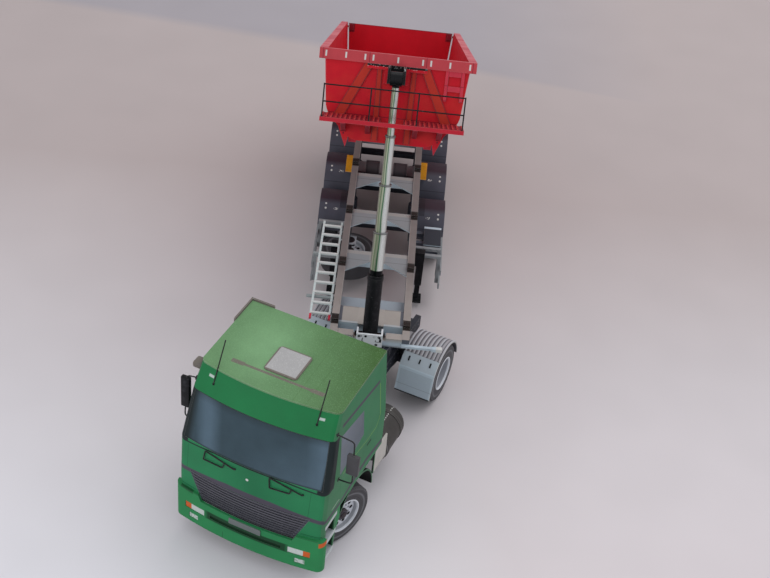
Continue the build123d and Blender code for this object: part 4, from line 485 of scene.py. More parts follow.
def cab_green():
    """Cab walls: printed green card with its bands, seams, stripes and the corner pillars."""
    c = colours()
    f = Finish("green_cab_card", "tractor", c.green)
    x, y, z = f.x, f.y, f.z
    reach = abs(x)
    front = f.faces(FORWARD, 0.55, 0.62)
    side = f.flanks(0.62, 0.7)
    f.paint(front & f.rise(abs(x - 6), 26, 4) * 0.45, c.green_dark)
    f.paint(front & f.rise(z, 112.3, 112.9), c.green_header)
    # Sides of the cab darker as painted shade, paler towards the rear top as painted light
    f.paint(side, c.green_side_shade)
    f.paint(side & f.rise(y + z * 0.4, -106, -84) * 0.35, c.green)
    # Band round the cab over the grille, dropping towards the corners
    drop = (reach - 15.0) | 0.0
    over = f.rise(z - (56.6 - drop * 0.078), -0.15, 0.15)
    under = f.rise(60.7 - drop * 0.112 - z, -0.15, 0.15)
    f.paint(front & over & under, c.band)
    # Seams of the front panel
    f.paint(front & f.stroke(x, z, [(39.4, 57.8), (40.0, 77.5)], 0.22) * 0.6, c.seam)
    f.paint(front & f.stroke(x, z, [(-43.2, 57.8), (-42.8, 77.0)], 0.22) * 0.6, c.seam)
    f.paint(front & f.between(z, 42.2, 42.6) & f.rise(reach, 35, 37) * 0.7, c.seam)
    f.paint(f.disc(x, z, (-0.5, 71.3), 0.95) & front, c.paper)
    f.paint(front & f.box(reach, z, (34.4, 37.9), (122.3, 123.7)) * 0.8, c.lamp)
    # Black surround of the windscreen, wrapped round both corners
    wrap = f.patch(y, z, [(-175, 78.3), (-159, 77.6), (-150.5, 112.5), (-175, 112.5)])
    f.paint(wrap & f.rise(reach, 43, 43.6), c.pillar)
    lower = 80.6 - f.rise(reach, 24, 46) * 2.4
    rim_line = f.within(z - lower, 0.5) | f.within(z - 112.6, 0.35)
    f.paint(front & rim_line, c.pillar)
    # Printed stripes on the cab's sides
    roof_stripe = f.stroke(y, z, [(-146, 116.6), (-96.5, 110.7)], 2.3)
    f.paint(side & roof_stripe, c.band)
    low_stripe = f.stroke(y, z, [(-86.5, 53.6), (-110.5, 57.3), (-122, 56.4), (-134, 54.9)], 3.4)
    thin_stripe = f.stroke(y, z, [(-134, 54.9), (-147, 53.0), (-174, 55.2)], 2.6)
    f.paint(side & (low_stripe | thin_stripe), c.band)
    door = [(-95, 108.6), (-94.2, 82.9), (-99.4, 76), (-112.7, 76.2), (-124.6, 78.2)]
    door += [(-134, 79.5), (-146, 77.9)]
    f.paint(side & f.stroke(y, z, door, 0.5), c.green_line)
    f.paint(side & f.stroke(y, z, [(-150.5, 112), (-149.5, 84), (-148, 58)], 0.25) * 0.5, c.seam)
    f.paint(side & f.stroke(y, z, [(-95.5, 84), (-97, 62), (-104, 53)], 0.25) * 0.5, c.seam)
    f.paint(side & f.stroke(y, z, [(-158.6, 58), (-149, 58)], 0.45), c.paper)
    f.paint(side & f.box(y, z, (-112, -106), (70.2, 72.0)), c.seam)
    f.mottle(26.0, 0.35)
    return f.card(grain=0.07, wear=0.18)


def roof_green():
    """Roof panel: grainy light green with painted sheen, brighter at the left front as a painted highlight
    and olive towards the rear right as painted shade, with its printed bar.
    """
    c = colours()
    f = Finish("green_roof_card", "tractor", c.green_roof)
    x, y = f.x, f.y
    # Olive towards the rear right corner: painted shade
    across = f.rise(x * 0.9 + y * 0.35, -66, 6)
    f.paint(across ** 1.6, c.green_olive)
    glow = f.rise(f.length((x + 16) * 1.0, (y + 118) * 0.7), 26, 4)
    f.paint(glow * 0.45, c.green_lit)
    for line_x in (16.5, 24.5, 33.0, 40.0):
        f.paint(f.within(x - line_x, 0.18, 0.35) * 0.3, c.green_olive)
    wide = f.box(abs(x), y, (22.0, 30.5), (-141.5, -138.3))
    taper = f.box(abs(x), y, (-1, 23.0), (-140.9, -139.0))
    f.paint((wide | taper) * 0.95, c.hatch_line)
    f.paint(f.rise(f.z, 126.1, 125.6) & f.rise(-y, 130, 131), c.green_header)
    # Pale specks over the roof: painted sheen
    sheen_speck = f.rise(f.noise(0.55, 1.0), 0.56, 0.72)
    f.paint(sheen_speck * 0.3, c.green_lit)
    f.shade(0.95 + f.rise(f.noise(0.45, 2.0), 0.35, 0.65) * 0.1)
    return f.card(grain=0.09, rough=0.42, wear=0.3, bump=0.03)


def screen_glass():
    """Windscreen and side windows: printed glass with painted reflections in soft light bands."""
    c = colours()
    f = Finish("printed_windows", "tractor", c.screen)
    x, y, z = f.x, f.y, f.z
    tilt = (z - 93) * 0.16
    # Light bands across the windscreen: painted reflections
    left_reflection = f.rise(x + tilt, -40, -33) & f.rise(x + tilt, -21, -29)
    right_reflection = f.rise(x + tilt, 34, 43)
    low_reflection = f.rise(x * 0.6 - z, -94, -60) & f.rise(x, -10, 30)
    f.paint(left_reflection * 0.9, c.screen_reflection)
    f.paint(low_reflection * 0.55, c.screen_reflection)
    f.paint(right_reflection * 0.85, c.screen_reflection)
    f.paint(f.rise(x, -40, -44), c.pillar)
    f.paint(f.rise(z, 108, 113) * 0.45, c.pillar)
    f.paint(f.rise(z, 82.4, 81.2) * 0.8, c.pillar)
    f.paint(f.rise(abs(x), 44.6, 45.8) & f.rise(-y, 156, 157), c.pillar)
    side = f.rise(abs(x), 46.4, 46.8) & f.rise(y, -158, -157)
    f.paint(side, c.side_window)
    f.paint(side & f.rise(y - z, -248, -216) * 0.6, c.screen)
    f.mottle(9.0, 0.25)
    return f.card(grain=0.05, rough=0.33, wear=0.0)


def grille_print():
    """Grille slats with light upper edges and four faint uprights."""
    c = colours()
    f = Finish("grille_slats", "tractor", c.grille)
    x, z = f.x, f.z
    pitch = GRILLE_HEIGHT / GRILLE_SLATS
    wave = f.within(((z - GRILLE_FOOT) % pitch) - pitch * 0.8, 0.28, 0.4)
    f.paint(wave * 0.55, c.seam_light)
    for bar_x in (-24.0, -8.5, 8.5, 24.0):
        f.paint(f.within(x - bar_x, 0.2, 0.3) * 0.3, c.seam_light)
    f.paint(f.rise(z, 37.6, 36.8) * 0.7, c.black)
    # Faces that do not face forward: painted shade
    f.paint(f.faces(FORWARD, 0.6, 0.2) * 0.25, c.black)
    return f.card(grain=0.06, rough=0.5, wear=0.25)


def bumper_green():
    """Bumper: green card with the dark slot, its seams and the corner markers, and painted shade in the
    hollow over the slot, deep in the slot and at the vehicle-right corner.
    """
    c = colours()
    f = Finish("green_bumper_card", "tractor", c.green_bumper)
    x, y, z = f.x, f.y, f.z
    f.paint(f.rise(abs(x - 4), 40, 10) * 0.35, c.green)
    # Hollow over the slot and the slot's depth: painted shade
    hollow_shade = f.rise(z, 23.2, 24.2) & f.rise(z, 30.9, 30.3) & f.within(x - 0.5, 28.0, 3.0)
    f.paint(hollow_shade * 0.85, c.seam)
    behind_bow = f.rise(y + abs(x) * abs(x) * -0.0037, -172.4, -171.6)
    deep_shade = behind_bow & f.within(x, 27.0) & f.between(z, 24, 30.4)
    f.paint(deep_shade * 0.6, c.black)
    f.paint(f.within(x + 15.0, 0.15, 0.25) & f.rise(z, 19.2, 18.7) * 0.6, c.seam)
    f.paint(f.between(z, 40.0, 40.35) & f.rise(abs(x), 30, 31) * 0.5, c.seam)
    marker = f.patch(y, z, [(-174.5, 34.7), (-174.5, 38.4), (-166, 40.2), (-166, 36.3)])
    f.paint(marker & f.rise(x, 48.0, 48.4), c.amber)
    # Dark patch at the vehicle-right corner: painted shade
    shade = f.patch(x, z, [(-47, 43), (-47, 39.5), (-37.5, 38.6), (-37.5, 41.4)], 0.8)
    f.paint(shade * 0.6, c.seam)
    f.mottle(24.0, 0.3)
    return f.card(grain=0.07, wear=0.08)


def lamp_print():
    """Head lamps: clear lens with fine ribs at the inner part, orange at the outer part."""
    c = colours()
    f = Finish("lamp_lenses", "tractor", c.lamp)
    x, z = f.x, f.z
    reach = abs(x)
    ribs = f.within((x % 0.8) - 0.4, 0.14, 0.2)
    f.paint(ribs * 0.3, c.green_header)
    spot = f.disc(reach, z, (31.6, 26.6), 2.2, 0.6) | f.disc(reach, z, (36.2, 26.6), 1.9, 0.6)
    f.paint(spot * 0.25, c.paper)
    f.paint(f.rise(reach, 38.7, 39.0) & f.rise(z, 22.0, 22.6), c.amber)
    fog = f.rise(z, 21.8, 21.4)
    f.paint(fog & f.rise(f.noise(1.6, 2.0), 0.5, 0.62) * 0.5, c.green_header)
    return f.card(grain=0.06, rough=0.3, wear=0.2)


def step_print():
    """Cab steps: green well, pale risers and chequered treads."""
    c = colours()
    f = Finish("step_card", "tractor", c.green_side_shade)
    x, y, z = f.x, f.y, f.z
    reach = abs(x)
    upward = f.faces(UPWARD, 0.6, 0.8)
    inner = f.rise(reach, 48.9, 48.6)
    # Inner faces of the step well: painted shade
    f.paint(inner & ~upward, c.seam)
    outer = f.rise(reach, 49.0, 49.2)
    riser = f.between(z, 30.4, 34.2) | f.rise(z, 19.6, 19.3)
    f.paint(outer & riser, c.plate_pale)
    f.paint(outer & f.between(z, 46.5, 49.6), c.plate_pale)
    f.paint(outer & f.rise(y, -150.4, -149.9), c.green_bumper)
    chequer = f.within(((y + reach) % 1.6) - 0.8, 0.22, 0.2)
    chequer = chequer | f.within(((y - reach) % 1.6) - 0.8, 0.22, 0.2)
    f.paint(upward, c.plate_pale)
    f.paint(upward & chequer * 0.6, c.grey)
    return f.card(grain=0.06, wear=0.2)


def hatch_print():
    """Roof hatch: pale speckled lid with a thin outline."""
    c = colours()
    f = Finish("hatch_card", "tractor", c.hatch)
    x, y = f.x, f.y
    f.paint(f.rise(f.noise(0.7, 1.0), 0.55, 0.7) * 0.35, c.paper)
    inner = f.box(x, y, (-9.9, 9.9), (-136.7, -116.3))
    f.paint(~inner, c.hatch_line)
    return f.card(grain=0.06, rough=0.5, wear=0.2)


def arch_print():
    """Wheel arches: black liners, with the pale panel behind the front wheel."""
    c = colours()
    f = Finish("arch_card", "tractor", c.black)
    x, y, z = f.x, f.y, f.z
    panel = f.rise(y, -94.6, -94.2)
    f.paint(panel, c.panel)
    f.paint(f.rise(abs(x), 48.9, 49.1) & ~panel * 0.7, c.green_side_shade)
    f.paint(f.rise(z, 30.2, 29.8) & panel * 0.5, c.rib_dark)
    f.mottle(7.0, 0.3)
    return f.card(grain=0.07, wear=0.3)


def bumper_print():
    """Rear bar: grey card with red and white end bands and bolts."""
    c = colours()
    f = Finish("rear_bar_card", "trailer", c.grey)
    x, z = f.x, f.z
    band = f.rise(((x + z) % 8.0), 3.9, 4.1)
    ends = f.rise(abs(x), 30.0, 30.2) & f.between(z, 25.0, 30.0)
    f.paint(ends, c.red)
    f.paint(ends & band, c.paper)
    f.paint(f.disc(abs(x), z, (25.0, 27.5), 0.8), c.rib_dark)
    return f.card(grain=0.07, wear=0.35)


def plain_card(name, carrier, colour, grain=0.07, rough=0.55, wear=0.25, bump=0.02):
    """Card printed in one colour, with its cloudiness and worn folds."""
    f = Finish(name, carrier, colour)
    f.mottle(18.0, 0.3)
    return f.card(grain=grain, rough=rough, wear=wear, bump=bump)


def wheel_print(name, carrier, holes, tread_turn):
    """One wheel: tyre with its sidewall rings and tread print, rim, holes, bolts and hub."""
    c = colours()
    f = Finish(name, carrier, c.tyre)
    across, along, level = (f.z, f.x, f.y) if carrier == "spare" else (f.x, f.y, f.z)
    radius = f.length(along, level)
    angle = f.math("ARCTAN2", level, along)
    tread = f.rise(radius, 20.6, 21.0)
    lines = f.within(((angle * WHEEL_RADIUS + across * tread_turn) % 2.1) - 1.05, 0.3, 0.5)
    f.paint(tread & lines * 0.55, c.black)
    side = f.rise(radius, 20.4, 20.0)
    rings = f.within(radius - 18.9, 0.12, 0.3) | f.within(radius - 14.6, 0.12, 0.3)
    f.paint(side & rings * 0.5, c.black)
    f.paint(side & f.within(radius - 17.2, 0.5, 0.8) * 0.16, c.rim)
    f.mottle(4.0, 0.3, 3.0)
    rim = f.rise(radius, RIM_RADIUS + 0.15, RIM_RADIUS - 0.05)
    f.paint(rim, c.rim if holes else c.rim_plain)
    f.paint(rim & f.within(radius - 11.3, 0.35, 0.6) * 0.5, c.rib_dark)
    if holes:
        step = 2 * pi / SPOKES
        fold = ((angle + step / 2) % step) - step / 2
        hole = f.disc(fold * radius, radius, (0.0, HOLE_CIRCLE), 1.25, 0.3)
        rim_hole = f.disc(fold * radius, radius, (0.0, HOLE_CIRCLE), 1.6, 0.4)
        f.paint(rim_hole * 0.35, c.rib_dark)
        f.paint(hole, c.black)
        nut_fold = (angle % step) - step / 2
        nut = f.disc(nut_fold * radius, radius, (0.0, NUT_CIRCLE), 0.42, 0.2)
        f.paint(nut * 0.9, c.rib_dark)
        f.paint(f.within(radius - 7.2, 0.15, 0.4) * 0.35, c.rib_dark)
    f.paint(f.rise(radius, HUB_RADIUS + 0.1, HUB_RADIUS - 0.1), c.spare)
    f.paint(f.within(radius - HUB_RADIUS * 0.6, 0.12, 0.25) * 0.5, c.black)
    return f.card(grain=0.05, rough=0.6, wear=0.12)


def mudguard_print():
    """Mudguards over the twin wheels: ribbed arc, flat strip with clips and plain apron."""
    c = colours()
    f = Finish("mudguard_card", "rear_axle", c.grey)
    x, y, z = f.x, f.y, f.z
    reach = abs(x)
    radius = f.length(y, z)
    angle = f.math("ARCTAN2", z, y) * (180 / pi)
    arc = f.rise(angle, 122.5, 121.5) & f.rise(radius, 23.6, 23.9) & f.rise(z, 0.0, 1.0)
    ribs = f.within(((reach - 24.0) % 2.9) - 1.45, 0.62, 0.5)
    f.paint(arc, c.rib)
    # Dark lines between the raised ribs and the dark underside: painted shade
    f.paint(arc & ribs * 0.8, c.rib_dark)
    under = f.rise(radius, 23.9, 23.6) & f.rise(angle, 122, 121) & f.rise(z, -6, -5)
    f.paint(under, c.rib_dark)
    strip = f.between(angle, 122.0, 146.0) & f.rise(z, 8, 9)
    f.paint(strip * 0.35, c.rib)
    f.paint(f.box(reach, z, (25.0, 48.6), (-6.1, 11.0), 0.5) & f.rise(-y, 19, 20) * 0.18, c.rib_dark)
    f.paint(f.rise(z, -5.4, -5.7), c.black)
    f.paint(f.rise(reach, 49.6, 49.9) & f.rise(radius, 23, 24) * 0.7, c.paper)
    return f.card(grain=0.06, wear=0.35)


def chassis_print():
    """Tractor chassis: dark card with printed bolts along the webs."""
    c = colours()
    f = Finish("chassis_card", "tractor", c.chassis)
    y, z = f.y, f.z
    row = (y % 6.0) - 3.0
    bolts = f.disc(row, z, (0.0, 32.5), 0.45) | f.disc(row, z, (0.0, 35.4), 0.3)
    f.paint(bolts & f.flanks(0.6, 0.8) * 0.7, c.rib)
    f.paint(f.faces(UPWARD, 0.7, 0.9) * 0.3, c.rib_dark)
    f.mottle(7.0, 0.5)
    return f.card(grain=0.08, wear=0.3)


def coupling_print():
    """Fifth wheel: dark greased plate with rings worn round the pin."""
    c = colours()
    f = Finish("coupling_plate", "tractor", c.chassis)
    radius = f.length(f.x, f.y)
    f.paint(f.within((radius % 3.4) - 1.7, 0.25, 0.6) * 0.35, c.rib)
    f.paint(f.rise(radius, 7.0, 5.0) * 0.5, c.black)
    f.mottle(5.0, 0.5)
    return f.card(grain=0.08, rough=0.4, wear=0.35)


def silencer_print():
    """Silencer drum: brown-grey card with end bands, a stitched seam, painted shade over its dished end
    and a paler front end.
    """
    c = colours()
    f = Finish("silencer_card", "tractor", c.drum)
    x, y, z = f.x, f.y, f.z
    radius = f.length(x - SILENCER[0], z - SILENCER[1])
    shell = f.rise(radius, 12.2, 12.8)
    for band_y in (-71.5, -50.0):
        f.paint(shell & f.within(y - band_y, 0.9) * 0.35, c.rib)
    seam = f.within(x + z * 0.55 - 62.6, 0.22) & f.rise(z, 29, 30)
    f.paint(seam & f.rise(((y % 2.0) - 1.0), -0.3, 0.0) * 0.8, c.paper)
    # Dished end darker: painted shade
    dish_shade = f.rise(y, -46.0, -43.0)
    f.paint(dish_shade * 0.25, c.black)
    f.paint(f.rise(-y, 74.2, 74.4) * 0.25, c.rib)
    f.paint(f.within(radius - 8.0, 0.2) & f.rise(y, -43.0, -42.4) * 0.6, c.black)
    f.mottle(6.0, 0.55, 3.0)
    return f.card(grain=0.08, rough=0.5, wear=0.2)


def tank_print():
    """Fuel tank: grey card with two straps, rivets and end seams."""
    c = colours()
    f = Finish("tank_card", "tractor", c.grey)
    x, y, z = f.x, f.y, f.z
    for strap_y in (-63.0, -32.0):
        f.paint(f.within(y - strap_y, 1.7), c.rib_dark)
        f.paint(f.disc((z % 4.0) - 2.0, y - strap_y, (0, 0), 0.4) * 0.8, c.rim)
    f.paint(f.within(y + 47.5, 0.15) * 0.6, c.rib_dark)
    f.paint(f.disc(y, z, (-40.0, 33.0), 2.6) & f.rise(-x, 44, 45), c.black)
    f.paint(f.disc(x, y, (-28.0, -56.0), 3.0) & f.rise(z, 37.9, 38.3), c.black)
    return f.card(grain=0.06, wear=0.3)


def duct_print():
    """Air duct behind the cab: brown-grey card with louvres at its head."""
    c = colours()
    f = Finish("duct_card", "tractor", c.duct)
    z = f.z
    louvre = f.within((z % 2.6) - 1.3, 0.35, 0.4) & f.between(z, 96, 124)
    f.paint(louvre & f.faces(REARWARD, 0.5, 0.7) * 0.8, c.black)
    f.paint(f.within(z - 92.5, 0.2) * 0.7, c.black)
    f.paint(f.rise(z, 66, 56) * 0.6, c.black)
    return f.card(grain=0.08, wear=0.35)


def rail_print():
    """Trailer rails: brown tops, darker behind in the bed's painted shadow and paler in front, dark pads,
    and blue-grey webs with bolts.
    """
    c = colours()
    f = Finish("rail_card", "trailer", c.rail_side)
    x, y, z = f.x, f.y, f.z
    top = f.rise(z, 55.6, 55.9)
    f.paint(top, c.rail)
    # Tops paler in front, darker behind in the bed's painted shadow
    f.paint(top & f.rise(y, 74, 20) * 0.75, c.rail_pale)
    f.paint(top & f.within(abs(x) - 22.75, 0.2) * 0.5, c.rail_pale)
    f.paint(top & f.within(((y + 21.5) % 65.0) - 32.5, 5.4, 0.5), c.pad)
    web = f.rise(z, 55.0, 54.8) & f.flanks(0.6, 0.8)
    row = (y % 8.0) - 4.0
    bolts = f.disc(row, z, (0.0, 51.6), 0.4) | f.disc(row, z, (0.0, 41.0), 0.4)
    f.paint(web & bolts * 0.7, c.grey)
    f.paint(web & f.within((y % 32.0) - 16.0, 0.15) * 0.6, c.black)
    hanger = f.rise(z, 37.2, 36.8)
    f.paint(hanger, c.chassis)
    f.paint(hanger & f.within(z - 23.2, 0.6) * 0.4, c.rib)
    f.mottle(14.0, 0.35)
    return f.card(grain=0.08, wear=0.3)


def cross_print():
    """Cross-members and gussets: blue-grey card with pale top strips and dark fold lines."""
    c = colours()
    f = Finish("cross_member_card", "trailer", c.grey)
    x, y, z = f.x, f.y, f.z
    top = f.rise(z, 54.2, 54.6)
    f.paint(top, c.cross_top)
    for front, rear in ((80.0, 92.0), (133.5, 143.5), (184.5, 193.0), (245.0, 253.0)):
        f.paint(top & f.between(y, rear - 4.2, rear - 0.3) * 0.55, c.deck)
        f.paint(top & f.within(y - front - 1.0, 0.2) * 0.6, c.rib_dark)
    f.paint(top & f.between(y, 76, 94.5) & f.within(x, 6.0) * 0.25, c.deck)
    # Members behind y 235 darker: painted shade under the raised bed
    f.paint(f.rise(y, 234, 236) * 0.75, c.rib_dark)
    f.paint(f.rise(-f.facing((0, 0, 1)), 0.6, 0.8) * 0.5, c.paper)
    return f.card(grain=0.06, wear=0.35)


def neck_print():
    """Front member and deck: beige tops grading to blue-grey faces, dark inner strips."""
    c = colours()
    f = Finish("neck_card", "trailer", c.deck)
    x, y, z = f.x, f.y, f.z
    front = f.faces(FORWARD, 0.5, 0.7)
    f.paint(front * f.rise(z, 55.0, 51.5), c.grey)
    f.paint(f.rise(z, 49.6, 48.6) * 0.6, c.rib_dark)
    f.paint(front & f.between(y, 8.5, 9.5), c.grey)
    top = f.faces(UPWARD, 0.6, 0.8)
    member = top & f.rise(z, 55.0, 55.2) & f.rise(y, 3.0, 2.4)
    f.paint(member, c.rail_pale)
    strip = top & f.between(y, 9, 26.6) & f.rise(abs(x), 20.2, 20.5)
    f.paint(strip, c.rail_side)
    f.paint(top & f.rise(z, 50, 49.6) & f.rise(y, 2, 3), c.grey)
    f.paint(top & f.between(y, 9.2, 10.6) & f.rise(z, 55, 55.2) * 0.5, c.grey)
    f.paint(top & f.rise(y, 25.4, 26.2) * 0.4, c.rib_dark)
    return f.card(grain=0.06, wear=0.35)


def cradle_print():
    """Cradle of the cylinder: white plate with printed bolts, black pins in the cheeks."""
    c = colours()
    f = Finish("cradle_card", "trailer", c.cradle)
    x, z = f.x, f.z
    front = f.faces(FORWARD, 0.6, 0.8)
    upper, lower = ((-6.0, 59.1), (-2.6, 59.1), (6.4, 59.1)), ((-6.2, 52.4), (-1.4, 52.4), (4.8, 52.4))
    for dot in (*upper, *lower, (7.6, 57.2)):
        f.paint(front & f.disc(x, z, dot, 0.85), c.black)
    f.paint(front & f.disc(x, z, (3.2, 59.1), 0.8) * 0.5, c.rib_dark)
    f.paint(front & f.stroke(x, z, [(-4.6, 57.4), (-4.9, 55.0), (-4.0, 54.2)], 0.6), c.black)
    f.paint(front & f.stroke(x, z, [(4.4, 56.2), (4.4, 55.0), (6.6, 54.9)], 0.5), c.black)
    f.paint(abs(f.facing((1, 0, 0))) * f.rise(z, 56, 50) * 0.4, c.rib_dark)
    return f.card(grain=0.05, wear=0.3)


def fender_print():
    """Fenders: dark grey tops in painted shade, lighter and bluer down in front as painted light, with
    seams and paired dots.
    """
    c = colours()
    f = Finish("fender_card", "trailer", c.fender_shade)
    x, y = f.x, f.y
    for axle_y in TRAILER_AXLES:
        # Front slopes lighter and bluer: painted light
        f.paint(f.between(y, axle_y - 26.0, axle_y - 7.0, 5.0) * 0.75, c.fender)
        for dot_y in (axle_y - 13.2, axle_y - 9.6):
            f.paint(f.disc(abs(x), y, (44.3, dot_y), 0.75), c.paper)
        for line_y in (axle_y - 20.0, axle_y + 3.5):
            f.paint(f.within(y - line_y, 0.18) * 0.5, c.black)
        glints = f.box(abs(x), y, (34.5, 38.0), (axle_y - 13.9, axle_y - 12.4))
        f.paint(glints & f.rise(f.noise(0.9), 0.5, 0.55), c.paper)
        f.paint(f.box(abs(x), y, (28.4, 33.4), (axle_y - 12.0, axle_y + 12.0)) * 0.45, c.black)
    f.paint(f.rise(abs(x), 49.2, 49.4) * 0.4, c.rib)
    f.mottle(9.0, 0.35)
    return f.card(grain=0.07, wear=0.25)


def bolted_print(name, carrier, colour, spacing=5.0, strength=0.5):
    """Small parts: one colour with rows of printed rivets and painted shade on the underside."""
    c = colours()
    f = Finish(name, carrier, colour)
    x, y, z = f.x, f.y, f.z
    dot = f.length((y % spacing) - spacing / 2, ((x + z) % spacing) - spacing / 2)
    f.paint(f.rise(dot, 0.45, 0.3) * strength, c.rib_dark)
    f.paint(f.faces(DOWNWARD, 0.2, 0.8) * 0.4, c.black)
    f.mottle(6.0, 0.4)
    return f.card(grain=0.07, wear=0.3)


def box_print():
    """Side box: grey lid, darker front with a printed door and two catches."""
    c = colours()
    f = Finish("side_box_card", "trailer", c.grey)
    x, y, z = f.x, f.y, f.z
    wall = f.rise(z, 43.6, 43.2)
    f.paint(wall, c.fender)
    f.paint(f.rise(z, 44.0, 44.4) & f.rise(y, 141.2, 140.8), c.chassis)
    door = f.box(y, z, (124, 141), (34.5, 42.0)) & ~f.box(y, z, (124.5, 140.5), (35.0, 41.5))
    f.paint(wall & f.rise(x, 46, 46.4) & door, c.black)
    for catch_y in (128.0, 137.0):
        f.paint(f.rise(x, 46, 46.4) & f.box(y, z, (catch_y - 0.8, catch_y + 0.8), (41, 43)), c.paper)
    return f.card(grain=0.06, wear=0.3)


def ladder_print():
    """Ladder: pale grey with darker rung shadows and red tips in front."""
    c = colours()
    f = Finish("ladder_card", "trailer", c.ladder)
    x, y, z = f.x, f.y, f.z
    tips = f.rise(y, 17.8, 17.4) & (f.rise(abs(x), 30.3, 30.1) | f.rise(abs(x), 41.9, 42.1))
    f.paint(tips, c.red)
    f.paint(f.rise(z, 51.9, 51.5) * 0.6, c.rib_dark)
    f.paint(f.within((y % 3.8) - 1.9, 0.12) * 0.2, c.rib_dark)
    return f.card(grain=0.06, wear=0.4)


def tank_pair_print():
    """Air tanks: dark drums with end seams on a pale tray."""
    c = colours()
    f = Finish("air_tank_card", "trailer", c.spare)
    x, y, z = f.x, f.y, f.z
    for band_x in (7.0, 15.4):
        f.paint(f.within(abs(x) - band_x, 0.25) * 0.6, c.black)
    f.paint(f.flanks(0.6, 0.8) * 0.5, c.black)
    radius = f.length(y - 215.0, z - 45.4)
    f.paint(f.rise(z, 39.4, 39.0) | f.rise(radius, 6.6, 6.8), c.tray)
    return f.card(grain=0.07, wear=0.2)


def bed_print():
    """Bed tub: red card, deeper inside, pale-lit rim with its marker dashes and seams."""
    c = colours()
    f = Finish("bed_card", "bed", c.red)
    x, y, z = f.x, f.y, f.z
    inside = f.between(y, -282.2, 22.5) & f.within(x, 46.6) & f.rise(z, 5.6, 6.4)
    f.paint(inside, c.red_deep)
    front = f.faces(FORWARD, 0.55, 0.7)
    cloud = f.noise(10.0, 2.0)
    f.paint(front & f.rise(z, 57.6, 40.0) * f.rise(cloud, 0.42, 0.6) * 0.35, c.rib_red)
    rim = f.rise(z, 57.3, 57.7) & (f.rise(y, -281.9, -282.2) | f.rise(abs(x), 47.6, 47.9))
    f.paint(rim, c.red_rim)
    top = f.faces(UPWARD, 0.6, 0.8) & f.rise(z, 64.2, 64.5)
    f.paint(top, c.red_top)
    f.paint(top & f.rise(f.noise(20.0), 0.4, 0.6) * 0.35, c.rim_lit)
    for mark in (0.0, 16.2, 21.5, 34.0, 47.0):
        dash = f.box(abs(x), z, (mark - 0.55, mark + 0.55), (59.4, 63.2))
        f.paint(front & dash & f.rise(-y, 283.4, 283.7), c.paper)
    for seam in (18.6, 48.9):
        f.paint(front & f.within(abs(x) - seam, 0.18) & f.rise(z, 57.6, 57.9) * 0.7, c.red_line)
    f.paint(f.within(z - 57.6, 0.22) & f.rise(abs(x), 47.3, 47.6) * 0.6, c.red_line)
    side = f.flanks(0.6, 0.75) & ~inside
    from_stay = (y % STAY_PITCH) - STAY_PITCH / 2
    stay = f.within(from_stay, STAY_HALF) & f.rise(z, 57.4, 57.2)
    stay_line = f.within(abs(from_stay) - 2.3, 0.16) & f.rise(z, 57.4, 57.2)
    f.paint(side & stay * 0.5, c.rib_red)
    f.paint(side & stay_line * 0.8, c.red_line)
    f.paint(side & f.within(z - 25.2, 0.18) * 0.6, c.red_line)
    f.paint(f.between(y, -284, -281) & f.within(z - 23.2, 0.25) * 0.8, c.red_line)
    f.paint(f.disc(abs(x), z, (31.2, 10.2), 0.55) & front, c.red_line)
    f.paint(f.rise(z, 6.2, 5.9) * 0.3, c.red_line)
    f.shade(1.0 + (cloud - 0.5) * 0.3)
    return f.card(grain=0.07, rough=0.5, wear=0.14)


def rib_print():
    """Ribs of the bed's front wall: orange-red strips with dark printed outlines."""
    c = colours()
    f = Finish("rib_card", "bed", c.rib_red)
    x, z = f.x, f.z
    reach = abs(x)
    front = f.faces(FORWARD, 0.5, 0.7)
    # Sides of the ribs: painted shade
    f.paint(~front, c.red_line)
    # Each rib: where its edges meet the rim, where they end below, and its foot
    ribs = ((10.0, 12.9, 8.6, 12.7, 7.2), (15.2, 21.2, 31.6, 38.6, 22.8))
    for top_in, top_out, low_in, low_out, low in ribs:
        left_edge = f.stroke(reach, z, [(top_in, 57.6), (low_in, low)], 0.7)
        right_edge = f.stroke(reach, z, [(top_out, 57.6), (low_out, low)], 0.7)
        f.paint(front & (left_edge | right_edge) * 0.8, c.red_line)
    frame_print = f.box(x, z, (31.0, 45.0), (38.0, 57.8))
    f.paint(frame_print, c.red)
    f.paint(frame_print * 0.4, c.red_top)
    rung_edge = f.within(((z - 38.0) % 9.8) - 0.3, 0.25) | f.within(abs(x - 38.0) - 4.2, 0.2)
    f.paint(frame_print & rung_edge * 0.6, c.red_line)
    f.mottle(8.0, 0.3)
    return f.card(grain=0.07, wear=0.15)


def walkway_print():
    """Walkway: red tray with dark grating slots and a pale-lit front edge."""
    c = colours()
    f = Finish("walkway_card", "bed", c.walkway)
    x, y, z = f.x, f.y, f.z
    top = f.faces(UPWARD, 0.6, 0.8)
    bars = f.within((x % 3.1) - 1.55, 0.75, 0.3) & f.between(y, -305.8, -285.5)
    f.paint(top & bars * 0.75, c.red_line)
    f.paint(top & f.within((y % 5.0) - 2.5, 0.3) * 0.5, c.walkway)
    front = f.faces(FORWARD, 0.5, 0.7) & f.rise(-y, 306, 307)
    f.paint(front, c.red_edge)
    f.paint(f.faces(FORWARD, 0.5, 0.7) & f.rise(y, -305, -304), c.red)
    f.paint(f.rise(z, 20.0, 19.7) & ~front * 0.35, c.red_line)
    f.mottle(9.0, 0.3)
    return f.card(grain=0.07, wear=0.2)


